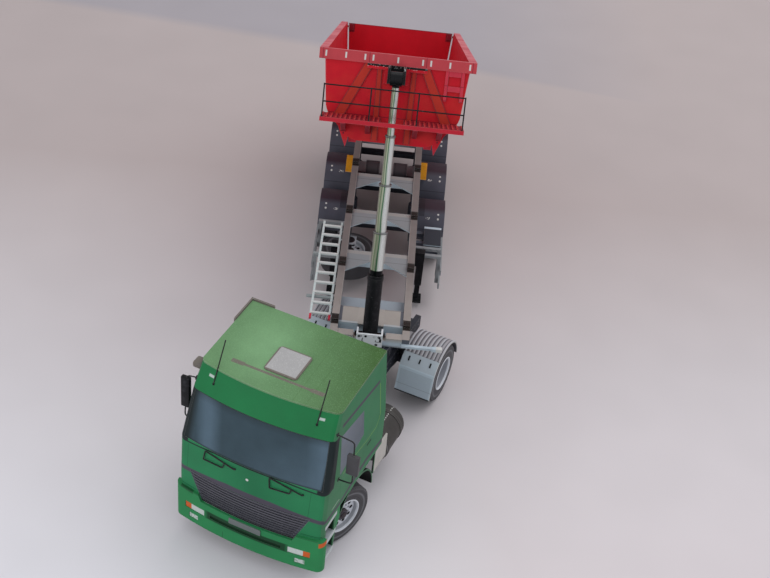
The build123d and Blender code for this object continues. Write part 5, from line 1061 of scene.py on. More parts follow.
def gate_print():
    """Tailgate: deep red plate with pale slits at its sides and dark hinge plates."""
    c = colours()
    f = Finish("tailgate_card", "bed", c.red_deep)
    x, z = f.x, f.z
    inner = f.faces(FORWARD, 0.5, 0.7)
    plates = f.box(abs(x), z, (39.6, 45.4), (56.6, 64.2))
    f.paint(plates * 0.75, c.red_line)
    slit = f.within(abs(x) - (43.6 + (z - 40.0) * 0.055), 0.35) & f.rise(z, 26, 28)
    f.paint(slit * inner * 0.9, c.paper)
    outer = f.faces(REARWARD, 0.5, 0.7)
    frame_lines = f.within((abs(x) % 14.0) - 7.0, 1.4) & f.rise(z, 12, 13)
    f.paint(outer & frame_lines * 0.5, c.rib_red)
    edge = f.within(abs((abs(x) % 14.0) - 7.0) - 1.5, 0.16)
    f.paint(outer & edge * 0.8, c.red_line)
    f.paint(outer & (f.within(z - 20.0, 0.9) | f.within(z - 52.0, 0.9)) * 0.5, c.rib_red)
    f.paint(f.rise(z, 63.2, 63.8) * 0.6, c.red_line)
    f.mottle(12.0, 0.25)
    return f.card(grain=0.06, wear=0.15)


def black_print(name, carrier, shine=0.45):
    """Black card and painted wire, with dusty patches and small glints."""
    c = colours()
    f = Finish(name, carrier, c.black)
    glint = f.rise(f.noise(1.3, 3.0), 0.62, 0.74)
    f.paint(glint * 0.15, c.rib)
    f.paint(f.rise(f.noise(5.0), 0.5, 0.75) * 0.12, c.rib_dark)
    return f.card(grain=0.1, rough=shine, wear=0.1)


def bracket_print():
    """Head bracket: black round the cylinder's eye, red where it is glued to the bed."""
    c = colours()
    f = Finish("bracket_card", "bed", c.black)
    x, y, z = f.x, f.y, f.z
    glued = f.rise(abs(x), 5.9, 6.1) & f.rise(z, 56.3, 56.1) & f.rise(y, -288, -287)
    f.paint(glued, c.red_deep)
    f.paint(f.rise(abs(x), 9.0, 9.2) & f.rise(z, 56.2, 55.9), c.red_deep)
    # Pale flecks along the top: painted glints
    f.paint(f.rise(f.noise(1.1, 3.0), 0.58, 0.66) & f.rise(z, 55.5, 56.2) * 0.7, c.paper)
    return f.card(grain=0.1, rough=0.45, wear=0.15)


def tube_print(number):
    """One drawn stage: bright tube with painted lengthwise reflections and a painted highlight, and a dark
    ring at its collar.
    """
    c = colours()
    radius, top = STAGES[number - 1]
    f = Finish(f"bright_tube_{number}", "cylinder", c.tube)
    x, z = f.x, f.z
    across = x / radius
    wander = (f.noise(9.0, 1.0, (1.0, 1.0, 0.35)) - 0.5) * 0.5
    lane = across + wander
    # Streaks across the tube: painted reflections, the brightest a painted highlight
    f.paint(f.rise(lane, 0.12, -0.05) * 0.55, c.streak)
    f.paint(f.within(lane + 0.08, 0.11, 0.12) * 0.85, c.green_dark)
    f.paint(f.within(lane + 0.52, 0.1, 0.15) * 0.7, c.green_olive)
    f.paint(f.rise(lane, -0.7, -0.95) * 0.6, c.chassis)
    f.paint(f.rise(lane, 0.2, 0.4) & f.rise(lane, 0.9, 0.75) * 0.75, c.glint)
    f.paint(f.rise(lane, 0.85, 1.0) * 0.55, c.rib)
    scratch = f.noise(0.6, 2.0, (1.0, 1.0, 0.02))
    f.shade(0.92 + scratch * 0.16)
    f.paint(f.rise(z, top - 1.1, top - 0.95) * 0.75, c.black)
    f.paint(f.within(z - (top - 0.2), 0.25) * 0.5, c.rib)
    f.paint(f.rise(z, 173.4, 173.9), c.black)
    if number == 1:
        f.paint(f.rise(z, 48.4, 48.0), c.black)
    f.feed(f.shader.inputs["Roughness"], 0.18 + scratch * 0.2)
    f.feed(f.shader.inputs["Metallic"], f.rise(z, top - 0.9, top - 1.2) * 0.55)
    height = f.node("ShaderNodeBump", inputs={"Strength": 0.25, "Distance": 0.00001, "Height": scratch})
    return f.done(height.outputs["Normal"])


def rib_strip_print():
    """Raised ribs of the mudguards: pale card, with painted shade where they sink into the arc."""
    c = colours()
    f = Finish("rib_strip_card", "rear_axle", c.rib_pale)
    radius = f.length(f.y, f.z)
    f.paint(f.rise(radius, 24.5, 24.2), c.rib_dark)
    return f.card(grain=0.05, rough=0.5, wear=0.2)


def mirror_print():
    """Black mirror housings and wires, with pale glass towards the driver painted as a reflection, and a
    painted highlight on the vehicle-left housing.
    """
    c = colours()
    f = Finish("mirror_card", "tractor", c.black)
    reach = abs(f.x)
    glass = f.between(reach, 51.2, 61.2) & f.between(f.z, 90.4, 114.2)
    f.paint(glass & f.faces(REARWARD, 0.9, 0.97), c.screen_reflection)
    f.paint(f.rise(f.z, 119.0, 119.6), c.duct)
    # Vehicle-left housing paler: painted highlight
    lit_housing = f.rise(f.x, 54.0, 54.4) & f.rise(f.z, 105.4, 105.0) & f.rise(f.z, 89.0, 89.4) * 0.16
    f.paint(lit_housing, c.rib)
    f.paint(f.rise(f.noise(4.0), 0.5, 0.7) * 0.25, c.rib_dark)
    return f.card(grain=0.08, rough=0.4, wear=0.15)


def rear_lamp_print():
    """Rear lamps: red, amber and white lenses with fine ribs."""
    c = colours()
    f = Finish("rear_lamp_card", "trailer", c.red)
    reach = abs(f.x)
    f.paint(f.between(reach, 34.8, 38.2), c.amber)
    f.paint(f.rise(reach, 38.2, 38.4), c.lamp)
    f.paint(f.rise(reach, 41.4, 41.6), c.red)
    f.paint(f.within((f.z % 0.9) - 0.45, 0.12, 0.2) * 0.35, c.black)
    return f.card(grain=0.05, rough=0.3, wear=0.1)


def alone():
    """Leave nothing selected, so that an operator acts on the next piece only."""
    for piece in bpy.context.selected_objects:
        piece.select_set(False)


def take(piece):
    """Make one piece the selected and active one."""
    alone()
    piece.select_set(True)
    bpy.context.view_layer.objects.active = piece
    return piece


def new_piece(name):
    """Name the piece that was just added."""
    piece = bpy.context.object
    piece.name = name
    piece.data.name = name
    return piece


def joined(name, pieces):
    """Several pieces made one."""
    alone()
    for piece in pieces:
        piece.select_set(True)
    bpy.context.view_layer.objects.active = pieces[0]
    if len(pieces) > 1:
        bpy.ops.object.join()
    return new_piece(name)


def copied(piece, place):
    """A copy with its own mesh, moved by a matrix."""
    twin = piece.copy()
    twin.data = piece.data.copy()
    bpy.context.collection.objects.link(twin)
    twin.data.transform(place)
    if place.determinant() < 0:
        twin.data.flip_normals()
    return twin


MIRROR = Matrix.Scale(-1, 4, (1, 0, 0))


def both_sides(piece):
    """The piece and its mirror image, for the vehicle's left and right."""
    return [piece, copied(piece, MIRROR)]


def settle(name, parts, carrier, body, finish):
    """Join a piece's parts and put it on its carrier in metres, with its body and its finish."""
    piece = joined(name, parts)
    piece.data.transform(Matrix.Scale(0.001, 4) @ CARRIERS[carrier])
    take(piece)
    bpy.ops.object.shade_smooth_by_angle(angle=radians(35))
    piece.data.materials.clear()
    piece.data.materials.append(finish)
    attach(piece, body)
    return piece


def block(name, low, high, edge=0.2, segments=2):
    """Box between two corners, with rounded edges."""
    alone()
    middle = [(a + b) / 2 for a, b in zip(low, high)]
    bpy.ops.mesh.primitive_cube_add(size=1, location=middle)
    piece = new_piece(name)
    piece.scale = [b - a for a, b in zip(low, high)]
    bpy.ops.object.transform_apply(location=True, rotation=True, scale=True)
    bpy.ops.object.mode_set(mode="EDIT")
    bpy.ops.mesh.select_all(action="SELECT")
    bpy.ops.mesh.bevel(offset=edge, segments=segments, affect="EDGES")
    bpy.ops.object.mode_set(mode="OBJECT")
    return piece


def turned(name, profile, sides=32, place=Matrix.Identity(4)):
    """Round piece about Z from a profile of radii and heights, closed at its ends."""
    alone()
    first_radius, first_height = profile[0]
    first_place = (0, 0, first_height)
    bpy.ops.mesh.primitive_circle_add(vertices=sides, radius=first_radius, location=first_place)
    piece = new_piece(name)
    bpy.ops.object.transform_apply(location=True)
    bpy.ops.object.mode_set(mode="EDIT")
    bpy.ops.mesh.select_all(action="SELECT")
    for (radius, height), (next_radius, next_height) in zip(profile, profile[1:]):
        bpy.ops.mesh.extrude_region_move(TRANSFORM_OT_translate={"value": (0, 0, next_height - height)})
        ratio = next_radius / radius
        bpy.ops.transform.resize(value=(ratio, ratio, 1), center_override=(0, 0, next_height))
    bpy.ops.mesh.select_all(action="SELECT")
    bpy.ops.mesh.remove_doubles(threshold=0.001)
    bpy.ops.mesh.fill_holes(sides=0)
    bpy.ops.mesh.select_all(action="SELECT")
    bpy.ops.mesh.normals_make_consistent(inside=False)
    bpy.ops.object.mode_set(mode="OBJECT")
    piece.data.transform(place)
    return piece


def rounded_run(points, radius, steps=4):
    """Points of a bent wire, each inner corner rounded."""
    path = [Vector(points[0])]
    for before, corner, after in zip(points, points[1:], points[2:]):
        corner = Vector(corner)
        back = Vector(before) - corner
        ahead = Vector(after) - corner
        start = corner + back.normalized() * min(radius, back.length / 2)
        end = corner + ahead.normalized() * min(radius, ahead.length / 2)
        for step in range(steps + 1):
            t = step / steps
            path.append(start * (1 - t) ** 2 + corner * (2 * t * (1 - t)) + end * t ** 2)
    path.append(Vector(points[-1]))
    return path


def wire(name, points, radius, bend=1.5):
    """Bent wire through some points, with rounded corners and closed ends."""
    alone()
    path = rounded_run(points, bend)
    curve = bpy.data.curves.new(name, "CURVE")
    curve.dimensions = "3D"
    curve.bevel_depth = radius
    curve.bevel_resolution = 3
    curve.use_fill_caps = True
    run = curve.splines.new("POLY")
    run.points.add(len(path) - 1)
    for point, place in zip(run.points, path):
        point.co = (*place, 1.0)
    piece = bpy.data.objects.new(name, curve)
    bpy.context.collection.objects.link(piece)
    take(piece)
    bpy.ops.object.convert(target="MESH")
    return new_piece(name)


def shaped(piece, kind, **settings):
    """The piece with one modifier applied."""
    take(piece)
    modifier = piece.modifiers.new(kind.lower(), kind)
    for key, value in settings.items():
        setattr(modifier, key, value)
    bpy.ops.object.modifier_apply(modifier=modifier.name)
    return piece


def bowed_strip(name, half, z, height, back):
    """Thin upright strip, bowed like the cab's front and some way behind it."""
    alone()
    steps = 16
    curve = bpy.data.curves.new(name, "CURVE")
    curve.dimensions = "2D"
    curve.extrude = height / 2
    run = curve.splines.new("POLY")
    run.points.add(steps)
    for step, point in enumerate(run.points):
        x = half * (2 * step / steps - 1)
        point.co = (x, screen_y(x, z) + back, 0.0, 1.0)
    piece = bpy.data.objects.new(name, curve)
    bpy.context.collection.objects.link(piece)
    take(piece)
    bpy.ops.object.convert(target="MESH")
    piece = shaped(new_piece(name), "SOLIDIFY", thickness=0.2, offset=0.0)
    piece.data.transform(shift(0.0, 0.0, z))
    return piece


def ring(name, inner, outer, low, high, place=Matrix.Identity(4)):
    """Ring of card about Z."""
    profile = [(inner, low), (outer, low), (outer, high), (inner, high), (inner, low)]
    return turned(name, profile, 40, place)


class TIPPER_OT_stage(bpy.types.Operator):
    """Pale floor, soft light and the camera at the photograph's angle"""

    bl_idname = "tipper.stage"
    bl_label = "Floor, light and camera"
    # Each lamp: name, place, width and power
    lamps = (
        ("window_light", (0.7, 0.6, 1.5), 1.6, 11.0),
        ("front_fill", (-0.9, -1.3, 0.9), 1.4, 7.0),
    )
    lamp_colour = (1.0, 0.98, 0.95)
    lamp_target = (0, 0, 0.05)
    # The room's light on the model, and as the camera and mirrors see it
    room_levels = (0.74, 0.9)
    room_colour = (0.93, 0.95, 1.0, 1.0)
    floor_width = 6
    floor_drop = -0.0002
    # The camera, fitted to the photograph: lens, place, turns about Z and X and its roll
    camera_lens = 63.91
    camera_place = (0.024106, -0.797055, 0.676805)
    camera_turns = (-0.74714, 50.7444, 6.41399)

    def execute(self, context):
        scene = context.scene
        scene.view_settings.view_transform = "Standard"
        alone()
        bpy.ops.mesh.primitive_plane_add(size=self.floor_width, location=(0, 0, self.floor_drop))
        floor = new_piece("floor")
        floor.data.materials.append(self.floor_finish())
        world = bpy.data.worlds.new("room")
        scene.world = world
        world.use_nodes = True
        tree = world.node_tree
        paths = tree.nodes.new("ShaderNodeLightPath")
        seen = None
        for ray in ("Is Camera Ray", "Is Glossy Ray", "Is Transmission Ray"):
            if seen is None:
                seen = paths.outputs[ray]
            else:
                both = tree.nodes.new("ShaderNodeMath")
                both.operation = "MAXIMUM"
                tree.links.new(seen, both.inputs[0])
                tree.links.new(paths.outputs[ray], both.inputs[1])
                seen = both.outputs[0]
        level = tree.nodes.new("ShaderNodeMapRange")
        level.inputs["To Min"].default_value, level.inputs["To Max"].default_value = self.room_levels
        tree.links.new(seen, level.inputs["Value"])
        background = tree.nodes["Background"]
        background.inputs["Color"].default_value = self.room_colour
        tree.links.new(level.outputs["Result"], background.inputs["Strength"])
        for name, place, width, energy in self.lamps:
            lamp_data = bpy.data.lights.new(name, "AREA")
            lamp_data.shape = "SQUARE"
            lamp_data.size = width
            lamp_data.energy = energy
            lamp_data.color = self.lamp_colour
            lamp = bpy.data.objects.new(name, lamp_data)
            context.collection.objects.link(lamp)
            lamp.location = place
            away = Vector(place) - Vector(self.lamp_target)
            lamp.rotation_euler = away.to_track_quat("Z", "Y").to_euler()
        lens = bpy.data.cameras.new("camera")
        lens.lens = self.camera_lens
        lens.sensor_width = 36
        camera = bpy.data.objects.new("camera", lens)
        context.collection.objects.link(camera)
        yaw, pitch, roll = self.camera_turns
        aim = turn(yaw, "Z") @ turn(pitch, "X") @ turn(roll, "Z")
        camera.matrix_world = shift(*self.camera_place) @ aim
        scene.camera = camera
        return {"FINISHED"}

    def floor_finish(self):
        """Pale card of the floor, darker and warmer behind as painted shade, warmer at the right, with
        faint clouds.
        """
        c = colours()
        f = Finish("floor_card", "trailer", c.floor)
        back = f.rise(f.y, -320, 260)
        # Darker behind the model: painted shade
        f.paint(back * 0.75, c.floor_back_shade)
        f.paint(f.rise(f.x - f.y * 0.2, 20, 230) & f.rise(f.y, 60, -160) * 0.6, c.floor_right)
        f.paint(f.rise(f.y + f.x * 0.12, 470, 486) & f.rise(f.x, 260, 60), c.floor_far)
        f.shade(1.0 + (f.noise(60.0, 1.0) - 0.5) * 0.08 + (f.noise(0.8, 1.0) - 0.5) * 0.04)
        f.feed(f.shader.inputs["Roughness"], 0.7 + (f.noise(40.0) - 0.5) * 0.1)
        return f.done()


class TIPPER_OT_cab_card(bpy.types.Operator):
    """Printed card of the cab: walls, roof, windows, grille, bumper, lamps and steps"""

    bl_idname = "tipper.cab_card"
    bl_label = "Cab card"

    def execute(self, context):
        dress("cab_shell", cab_green())
        dress("cab_roof", roof_green())
        dress("window_panes", screen_glass())
        dress("grille", grille_print())
        dress("bumper", bumper_green())
        dress("head_lamps", lamp_print())
        dress("cab_steps", step_print())
        dress("roof_hatch", hatch_print())
        dress("arch_liners", arch_print())
        return {"FINISHED"}


class TIPPER_OT_chassis_card(bpy.types.Operator):
    """Printed card of the tractor's chassis, tanks, silencer and mudguards"""

    bl_idname = "tipper.chassis_card"
    bl_label = "Chassis card"

    def execute(self, context):
        c = colours()
        dress("chassis_frame", chassis_print())
        dress("front_axle", bolted_print("front_axle_card", "tractor", c.chassis))
        dress("rear_axle", bolted_print("rear_axle_card", "rear_axle", c.chassis))
        for side_name, _ in SIDES:
            finish = bolted_print(f"knuckle_card_{side_name}", f"front_{side_name}", c.chassis)
            dress(f"knuckle_{side_name}", finish)
        dress("fifth_wheel", coupling_print())
        dress("silencer", silencer_print())
        dress("fuel_tank", tank_print())
        dress("mudguards", mudguard_print())
        return {"FINISHED"}


class TIPPER_OT_wheel_card(bpy.types.Operator):
    """Printed tyres and rims of all the wheels"""

    bl_idname = "tipper.wheel_card"
    bl_label = "Wheel card"

    def execute(self, context):
        for side_name, side in SIDES:
            kinds = [("front_wheel_card", f"front_{side_name}", True, "front")]
            kinds.append(("twin_wheel_card", "rear_axle", False, "rear"))
            for number, _ in enumerate(TRAILER_AXLES, start=1):
                name = f"trailer_wheel_card_{number}"
                kinds.append((name, f"axle_{number}", True, f"trailer_{number}"))
            for name, carrier, holes, wheel in kinds:
                finish = wheel_print(f"{name}_{side_name}", carrier, holes, side)
                dress(f"wheel_{wheel}_{side_name}", finish)
        dress("spare_wheel", wheel_print("spare_wheel_card", "spare", True, 1))
        return {"FINISHED"}


class TIPPER_OT_trailer_card(bpy.types.Operator):
    """Printed card of the trailer's frame, fenders, ladder and small parts"""

    bl_idname = "tipper.trailer_card"
    bl_label = "Trailer card"

    def execute(self, context):
        c = colours()
        dress("trailer_frame", rail_print())
        dress("cross_members", cross_print())
        dress("neck_plate", neck_print())
        dress("cylinder_cradle", cradle_print())
        dress("lamp_arms", bolted_print("lamp_arm_card", "trailer", c.grey))
        dress("landing_legs", black_print("leg_card", "trailer", 0.6))
        dress("ladder", ladder_print())
        dress("side_guards", bolted_print("guard_card", "trailer", c.cross_top))
        dress("side_box", box_print())
        dress("fenders", fender_print())
        dress("trailer_axles", bolted_print("trailer_axle_card", "trailer", c.chassis))
        dress("air_tanks", tank_pair_print())
        dress("wheel_chocks", bolted_print("chock_card", "trailer", c.orange, 3.0, 0.25))
        dress("rear_bumper", bumper_print())
        return {"FINISHED"}


class TIPPER_OT_bed_card(bpy.types.Operator):
    """Printed card of the tipping bed, its walkway and tailgate, and the drawn cylinder"""

    bl_idname = "tipper.bed_card"
    bl_label = "Bed and cylinder card"

    def execute(self, context):
        dress("bed_tub", bed_print())
        dress("bed_ribs", rib_print())
        dress("walkway", walkway_print())
        dress("tailgate", gate_print())
        dress("railings", black_print("railing_wire", "bed"))
        dress("head_bracket", bracket_print())
        dress("cylinder_base", black_print("cylinder_base_card", "cylinder", 0.5))
        for number in (1, 2, 3, 4):
            dress(f"cylinder_stage_{number}", tube_print(number))
        return {"FINISHED"}


class TIPPER_OT_cab_fittings(bpy.types.Operator):
    """Mirrors, wipers, aerials, front plate, sheet behind the grille and fairing behind the roof"""

    bl_idname = "tipper.cab_fittings"
    bl_label = "Cab fittings"
    # Each mirror: wire from the upper foot to the lower one, then the housing's two corners
    mirrors = (
        (((46.2, -153, 115.4), (57.9, -154, 115.4), (58.7, -154, 81.4), (49.0, -153, 79.5)),
         ((54.4, -155.6, 89.5), (62.0, -152.6, 105.0))),
        (((-46.2, -153, 116.5), (-52.6, -154, 116.4), (-54.2, -154, 82.4), (-49.0, -153, 79.8)),
         ((-56.2, -155.6, 91.0), (-50.2, -152.6, 115.0))),
    )
    # Each wiper: foot, arm's end, and the three corners of the blade's frame, as x and z
    wipers = (
        ((-8.9, 76.0), (-29.7, 79.8), (-30.9, 72.4), (-17.2, 73.1), (-16.0, 77.2)),
        ((35.2, 75.0), (14.0, 80.7), (14.6, 72.9), (27.3, 73.4), (28.2, 76.6)),
    )

    def execute(self, context):
        c = colours()
        pieces = []
        for run, corners in self.mirrors:
            pieces.append(wire("mirror", run, size("wire"), 2.5))
            pieces.append(block("housing", *corners, 0.7, 3))
            for x, y, z in (run[0], run[-1]):
                low, high = (x - 0.9, y - 1.2, z - 1.2), (x + 0.9, y + 1.2, z + 1.2)
                pieces.append(block("foot", low, high, 0.4))
        pieces.append(block("kerb_mirror", (-51.6, -150.0, 120.2), (-45.0, -142.5, 124.4), 1.4, 3))
        piece = settle("mirror_set", pieces, "tractor", "tractor", mirror_print())
        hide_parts("mirrors")

        pieces = []
        for run in self.wipers:
            points = [(x, screen_y(x, z) - 0.9, z) for x, z in run]
            foot_x, foot_z = run[0]
            foot = (foot_x, screen_y(foot_x, foot_z) + 0.2, foot_z)
            pieces.append(wire("wiper", [foot, *points], size("thin_wire"), 0.8))
            hub = [(0.7, 0.0), (0.7, 0.7), (0.4, 1.0)]
            pieces.append(turned("hub", hub, 16, shift(*foot) @ turn(90, "X")))
        finish = black_print("wiper_wire", "tractor")
        piece = settle("wiper_pair", pieces, "tractor", "tractor", finish)
        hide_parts("wipers")

        pieces = []
        for x in (-33.5, 34.25):
            base = (x, screen_y(x, 119.8), 119.8)
            pieces.append(wire("aerial", [base, (x, -142.3, 143.7)], 0.38, 0.5))
            foot = [(0.7, -0.4), (0.7, 0.5), (0.4, 1.0)]
            pieces.append(turned("foot", foot, 16, shift(*base) @ shift(0.0, 0.0, -0.2)))
        finish = black_print("aerial_wire", "tractor")
        piece = settle("aerial_pair", pieces, "tractor", "tractor", finish)
        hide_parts("aerials")

        pieces = []
        for number in range(GRILLE_SLATS):
            z = 36.6 + 2.1 * (number + 0.5)
            half = 29.9 + (z - GRILLE_FOOT) * GRILLE_LEAN / GRILLE_HEIGHT
            pieces.append(bowed_strip("backing", half, z, 1.3, 0.55))
        finish = plain_card("grille_backing", "tractor", c.grille_back, 0.06)
        settle("grille_backing", pieces, "tractor", "tractor", finish)

        # Dark strip set back in the bumper's slot: painted shade
        shade = bowed_strip("slot_shade", 24.5, 26.6, 3.1, -0.9)
        finish = plain_card("slot_card", "tractor", c.seam, 0.05, wear=0.0)
        settle("slot_shade", [shade], "tractor", "tractor", finish)

        plate = block("front_plate", (-10.5, -176.3, 30.6), (11.3, -175.5, 35.1))
        finish = plain_card("plate_card", "tractor", c.plate, 0.05)
        settle("front_plate", [plate], "tractor", "tractor", finish)

        pieces = [
            block("duct", (-46.0, -86.4, 56.0), (-33.0, -78.5, 118.0), 0.4),
            block("side_leg", (-47.3, -108.0, 112.0), (-46.2, -85.0, 129.2), 0.25),
            block("rear_leg", (-47.3, -86.2, 112.0), (-31.0, -85.0, 129.2), 0.25),
        ]
        piece = settle("duct_fairing", pieces, "tractor", "tractor", duct_print())
        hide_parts("air_duct")
        return {"FINISHED"}


class TIPPER_OT_wheel_trims(bpy.types.Operator):
    """Rim lips, wheel nuts and hub caps on every wheel"""

    bl_idname = "tipper.wheel_trims"
    bl_label = "Wheel trims"
    # Each kind: carriers, their body, place of the tyre's face and depth of the disc
    kinds = (
        (("front_{side}",), "wheel_front_{side}", 16.8, 3.2),
        (("rear_axle",), "wheel_rear_{side}", 49.4, 6.2),
        (("axle_1", "axle_2", "axle_3"), "wheel_trailer_{n}_{side}", 49.0, 3.2),
    )

    # Profiles as radii and heights: the lip from the tyre's face, cap and nut from the disc
    lip = (
        (12.45, -0.5), (12.55, 0.1), (12.2, 0.4), (11.7, 0.25),
        (11.35, -0.9), (11.6, -1.3), (12.45, -0.5),
    )
    cap = ((4.1, -0.2), (4.1, 1.7), (3.6, 2.1), (2.5, 2.2), (2.3, 3.0), (1.7, 3.3))
    nut = ((0.55, -0.1), (0.55, 0.55), (0.4, 0.7))

    def trim(self, face, depth):
        """Lip, nuts and cap of a left wheel, about X."""
        about_x = shift(face, 0.0, 0.0) @ turn(90, "Y")
        pieces = [turned("lip", self.lip, 48, about_x)]
        pieces.append(turned("cap", [(radius, rise - depth) for radius, rise in self.cap], 32, about_x))
        nut = [(radius, rise - depth) for radius, rise in self.nut]
        for number in range(SPOKES):
            around = turn(360 / SPOKES * (number + 0.5), "X") @ shift(0.0, NUT_CIRCLE, 0.0)
            pieces.append(turned("nut", nut, 6, around @ about_x))
        return joined("trim", pieces)

    def execute(self, context):
        c = colours()
        for carriers, body_pattern, face, depth in self.kinds:
            for side_name, side in SIDES:
                for number, carrier in enumerate(carriers, start=1):
                    carrier = carrier.format(side=side_name)
                    body = body_pattern.format(side=side_name, n=number)
                    piece = self.trim(face, depth)
                    if side < 0:
                        piece.data.transform(MIRROR)
                        piece.data.flip_normals()
                    name = f"trim_{body}"
                    settle(name, [piece], carrier, body, self.finish(name, carrier, c))
        return {"FINISHED"}

    def finish(self, name, carrier, c):
        """Pale rim card with a dark hub and darker nuts."""
        f = Finish(name, carrier, c.rim)
        radius = f.length(f.y, f.z)
        f.paint(f.rise(radius, 8.0, 7.5) * 0.6, c.rib_dark)
        f.paint(f.rise(radius, 4.9, 4.5), c.spare)
        f.paint(f.within(radius - 2.9, 0.35), c.rib_dark)
        return f.card(grain=0.05, rough=0.5, wear=0.15)


class TIPPER_OT_chassis_fittings(bpy.types.Operator):
    """Ribs and clips of the mudguards, bands of the silencer and cap of the tank"""

    bl_idname = "tipper.chassis_fittings"
    bl_label = "Chassis fittings"

    def execute(self, context):
        c = colours()
        ribs = []
        arc = [(24.25 * cos(radians(angle)), 24.25 * sin(radians(angle))) for angle in range(6, 122, 5)]
        for x in (*(24.2 + 2.95 * number for number in range(8)), 49.3):
            ribs.append(wire("rib", [(x, y, z) for y, z in arc], 0.62, 0.8))
        pieces = both_sides(joined("ribs", ribs))
        settle("mudguard_ribs", pieces, "rear_axle", "tractor", rib_strip_print())

        clips = []
        for x in (28.6, 36.6, 44.6):
            clip = block("clip", (x - 0.5, 24.1, -1.7), (x + 0.5, 25.0, 1.7), 0.2)
            clip.data.transform(turn(132, "X"))
            clips.append(clip)
        pieces = both_sides(joined("clips", clips))
        finish = black_print("clip_card", "rear_axle")
        settle("mudguard_clips", pieces, "rear_axle", "tractor", finish)

        bands = []
        for y in (-70.0, -50.5):
            place = shift(SILENCER[0], y, SILENCER[1]) @ turn(90, "X")
            bands.append(ring("band", 13.3, 13.9, -1.2, 1.2, place))
        finish = plain_card("band_card", "tractor", c.drum, 0.08, 0.4)
        settle("silencer_bands", bands, "tractor", "tractor", finish)

        profile = [(3.0, 0.0), (3.0, 1.2), (2.6, 1.6), (1.1, 1.7), (1.0, 2.2)]
        cap = turned("tank_cap", profile, 24, shift(-28.0, -56.0, 38.3))
        settle("tank_cap", [cap], "tractor", "tractor", black_print("cap_card", "tractor"))
        return {"FINISHED"}


class TIPPER_OT_trailer_fittings(bpy.types.Operator):
    """Deck between the rails, cradle bolts, ladder rungs, tips of the lamp arms and rear lamps"""

    bl_idname = "tipper.trailer_fittings"
    bl_label = "Trailer fittings"

    def execute(self, context):
        c = colours()
        deck = block("deck_middle", (-9.4, 9.0, 54.4), (9.4, 26.5, 55.35), 0.15)
        finish = plain_card("deck_card", "trailer", c.deck, 0.06)
        settle("deck_middle", [deck], "trailer", "trailer", finish)

        bolt = [(0.85, -0.1), (0.85, 0.35), (0.6, 0.55)]
        upper, lower = ((-7.2, 59.0), (-2.6, 59.3), (7.0, 59.0)), ((-7.2, 52.6), (-1.4, 52.4), (5.2, 52.4))
        pieces = []
        for x, z in (*upper, *lower, (7.6, 55.8)):
            pieces.append(turned("bolt", bolt, 12, shift(x, -8.15, z) @ turn(90, "X")))
        finish = black_print("bolt_card", "trailer")
        settle("cradle_bolts", pieces, "trailer", "trailer", finish)

        pieces = []
        for number in range(10):
            y = 13 + 11.4 * (number + 0.5)
            pieces.append(wire("rung", [(-43.4, y, 53.0), (-28.9, y, 53.0)], 0.95, 0.3))
        finish = plain_card("rung_card", "trailer", c.glint, 0.04)
        settle("ladder_rungs", pieces, "trailer", "trailer", finish)

        tip = block("arm_tip", (46.5, -7.15, 50.1), (50.6, -3.85, 52.7), 0.25)
        finish = plain_card("tip_card", "trailer", c.paper, 0.04)
        settle("arm_tips", both_sides(tip), "trailer", "trailer", finish)

        lamp = block("rear_lamp", (31.0, 309.7, 25.2), (44.4, 311.0, 29.8), 0.35, 3)
        settle("rear_lamps", both_sides(lamp), "trailer", "trailer", rear_lamp_print())
        return {"FINISHED"}


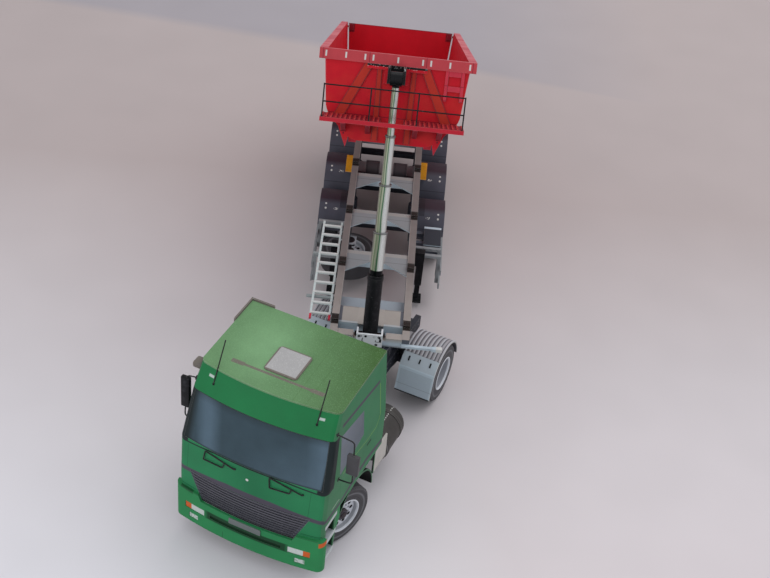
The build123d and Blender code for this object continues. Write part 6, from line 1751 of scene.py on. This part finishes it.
class TIPPER_OT_bed_fittings(bpy.types.Operator):
    """The walkway's grating, stays of the bed's sides, tailgate ribs and the cylinder's sleeve"""

    bl_idname = "tipper.bed_fittings"
    bl_label = "Bed fittings"

    def execute(self, context):
        c = colours()
        bar = block("bar", (8.3, -306.6, 22.6), (9.3, -284.2, 23.3), 0.15)
        bars = [bar, *(copied(bar, shift(3.05 * number, 0.0, 0.0)) for number in range(1, 13))]
        pieces = both_sides(joined("bars", bars))
        finish = plain_card("grating_card", "bed", c.walkway_bar)
        settle("walkway_grating", pieces, "bed", "bed", finish)

        stays = []
        lean = Matrix.Identity(4)
        lean[0][2] = 0.1012
        for number in range(9):
            y = -255.0 + STAY_PITCH * number
            stay = block("stay", (43.9, y - STAY_HALF, 0.0), (45.5, y + STAY_HALF, 33.4), 0.3)
            stay.data.transform(shift(0.0, 0.0, 24.0) @ lean)
            stays.append(stay)
        pieces = both_sides(joined("stays", stays))
        settle("side_stays", pieces, "bed", "bed", plain_card("stay_card", "bed", c.red))

        ribs = []
        for x in (7.0, 21.0, 35.0):
            ribs += both_sides(block("rib", (x - 1.5, 20.3, 13.0), (x + 1.5, 21.9, 60.0), 0.3))
        for z in (20.0, 52.0):
            ribs.append(block("rib", (-40.5, 20.3, z - 1.2), (40.5, 21.6, z + 1.2), 0.3))
        finish = plain_card("gate_rib_card", "bed", c.red)
        settle("tailgate_ribs", ribs, "bed", "tailgate", finish)

        sleeve = ring("cylinder_sleeve", 5.02, 5.45, 40.0, 44.2)
        finish = black_print("sleeve_card", "cylinder", 0.5)
        settle("cylinder_sleeve", [sleeve], "cylinder", "cylinder_base", finish)
        return {"FINISHED"}


class TIPPER_PT_pieces(bpy.types.Panel):
    """Everything that dresses the tipper"""

    bl_idname = "TIPPER_PT_pieces"
    bl_label = "Card tipper lorry"
    bl_space_type = "VIEW_3D"
    bl_region_type = "UI"
    bl_category = "Tipper"

    def draw(self, context):
        for maker in MAKERS:
            self.layout.operator(maker.bl_idname)
        for name in TIPPER_Sizes.__annotations__:
            self.layout.prop(context.scene.tipper_sizes, name)
        for name in TIPPER_Colours.__annotations__:
            self.layout.prop(context.scene.tipper_colours, name)


MAKERS = (
    TIPPER_OT_stage,
    TIPPER_OT_cab_card,
    TIPPER_OT_chassis_card,
    TIPPER_OT_wheel_card,
    TIPPER_OT_trailer_card,
    TIPPER_OT_bed_card,
    TIPPER_OT_cab_fittings,
    TIPPER_OT_wheel_trims,
    TIPPER_OT_chassis_fittings,
    TIPPER_OT_trailer_fittings,
    TIPPER_OT_bed_fittings,
)
CLASSES = (TIPPER_Colours, TIPPER_Sizes, *MAKERS, TIPPER_PT_pieces)


def register():
    for item in CLASSES:
        bpy.utils.register_class(item)
    bpy.types.Scene.tipper_colours = PointerProperty(type=TIPPER_Colours)
    bpy.types.Scene.tipper_sizes = PointerProperty(type=TIPPER_Sizes)


def unregister():
    del bpy.types.Scene.tipper_sizes
    del bpy.types.Scene.tipper_colours
    for item in reversed(CLASSES):
        bpy.utils.unregister_class(item)


def main():
    register()
    for maker in MAKERS:
        group, name = maker.bl_idname.split(".")
        getattr(getattr(bpy.ops, group), name)()


if __name__ == "__main__":
    main()
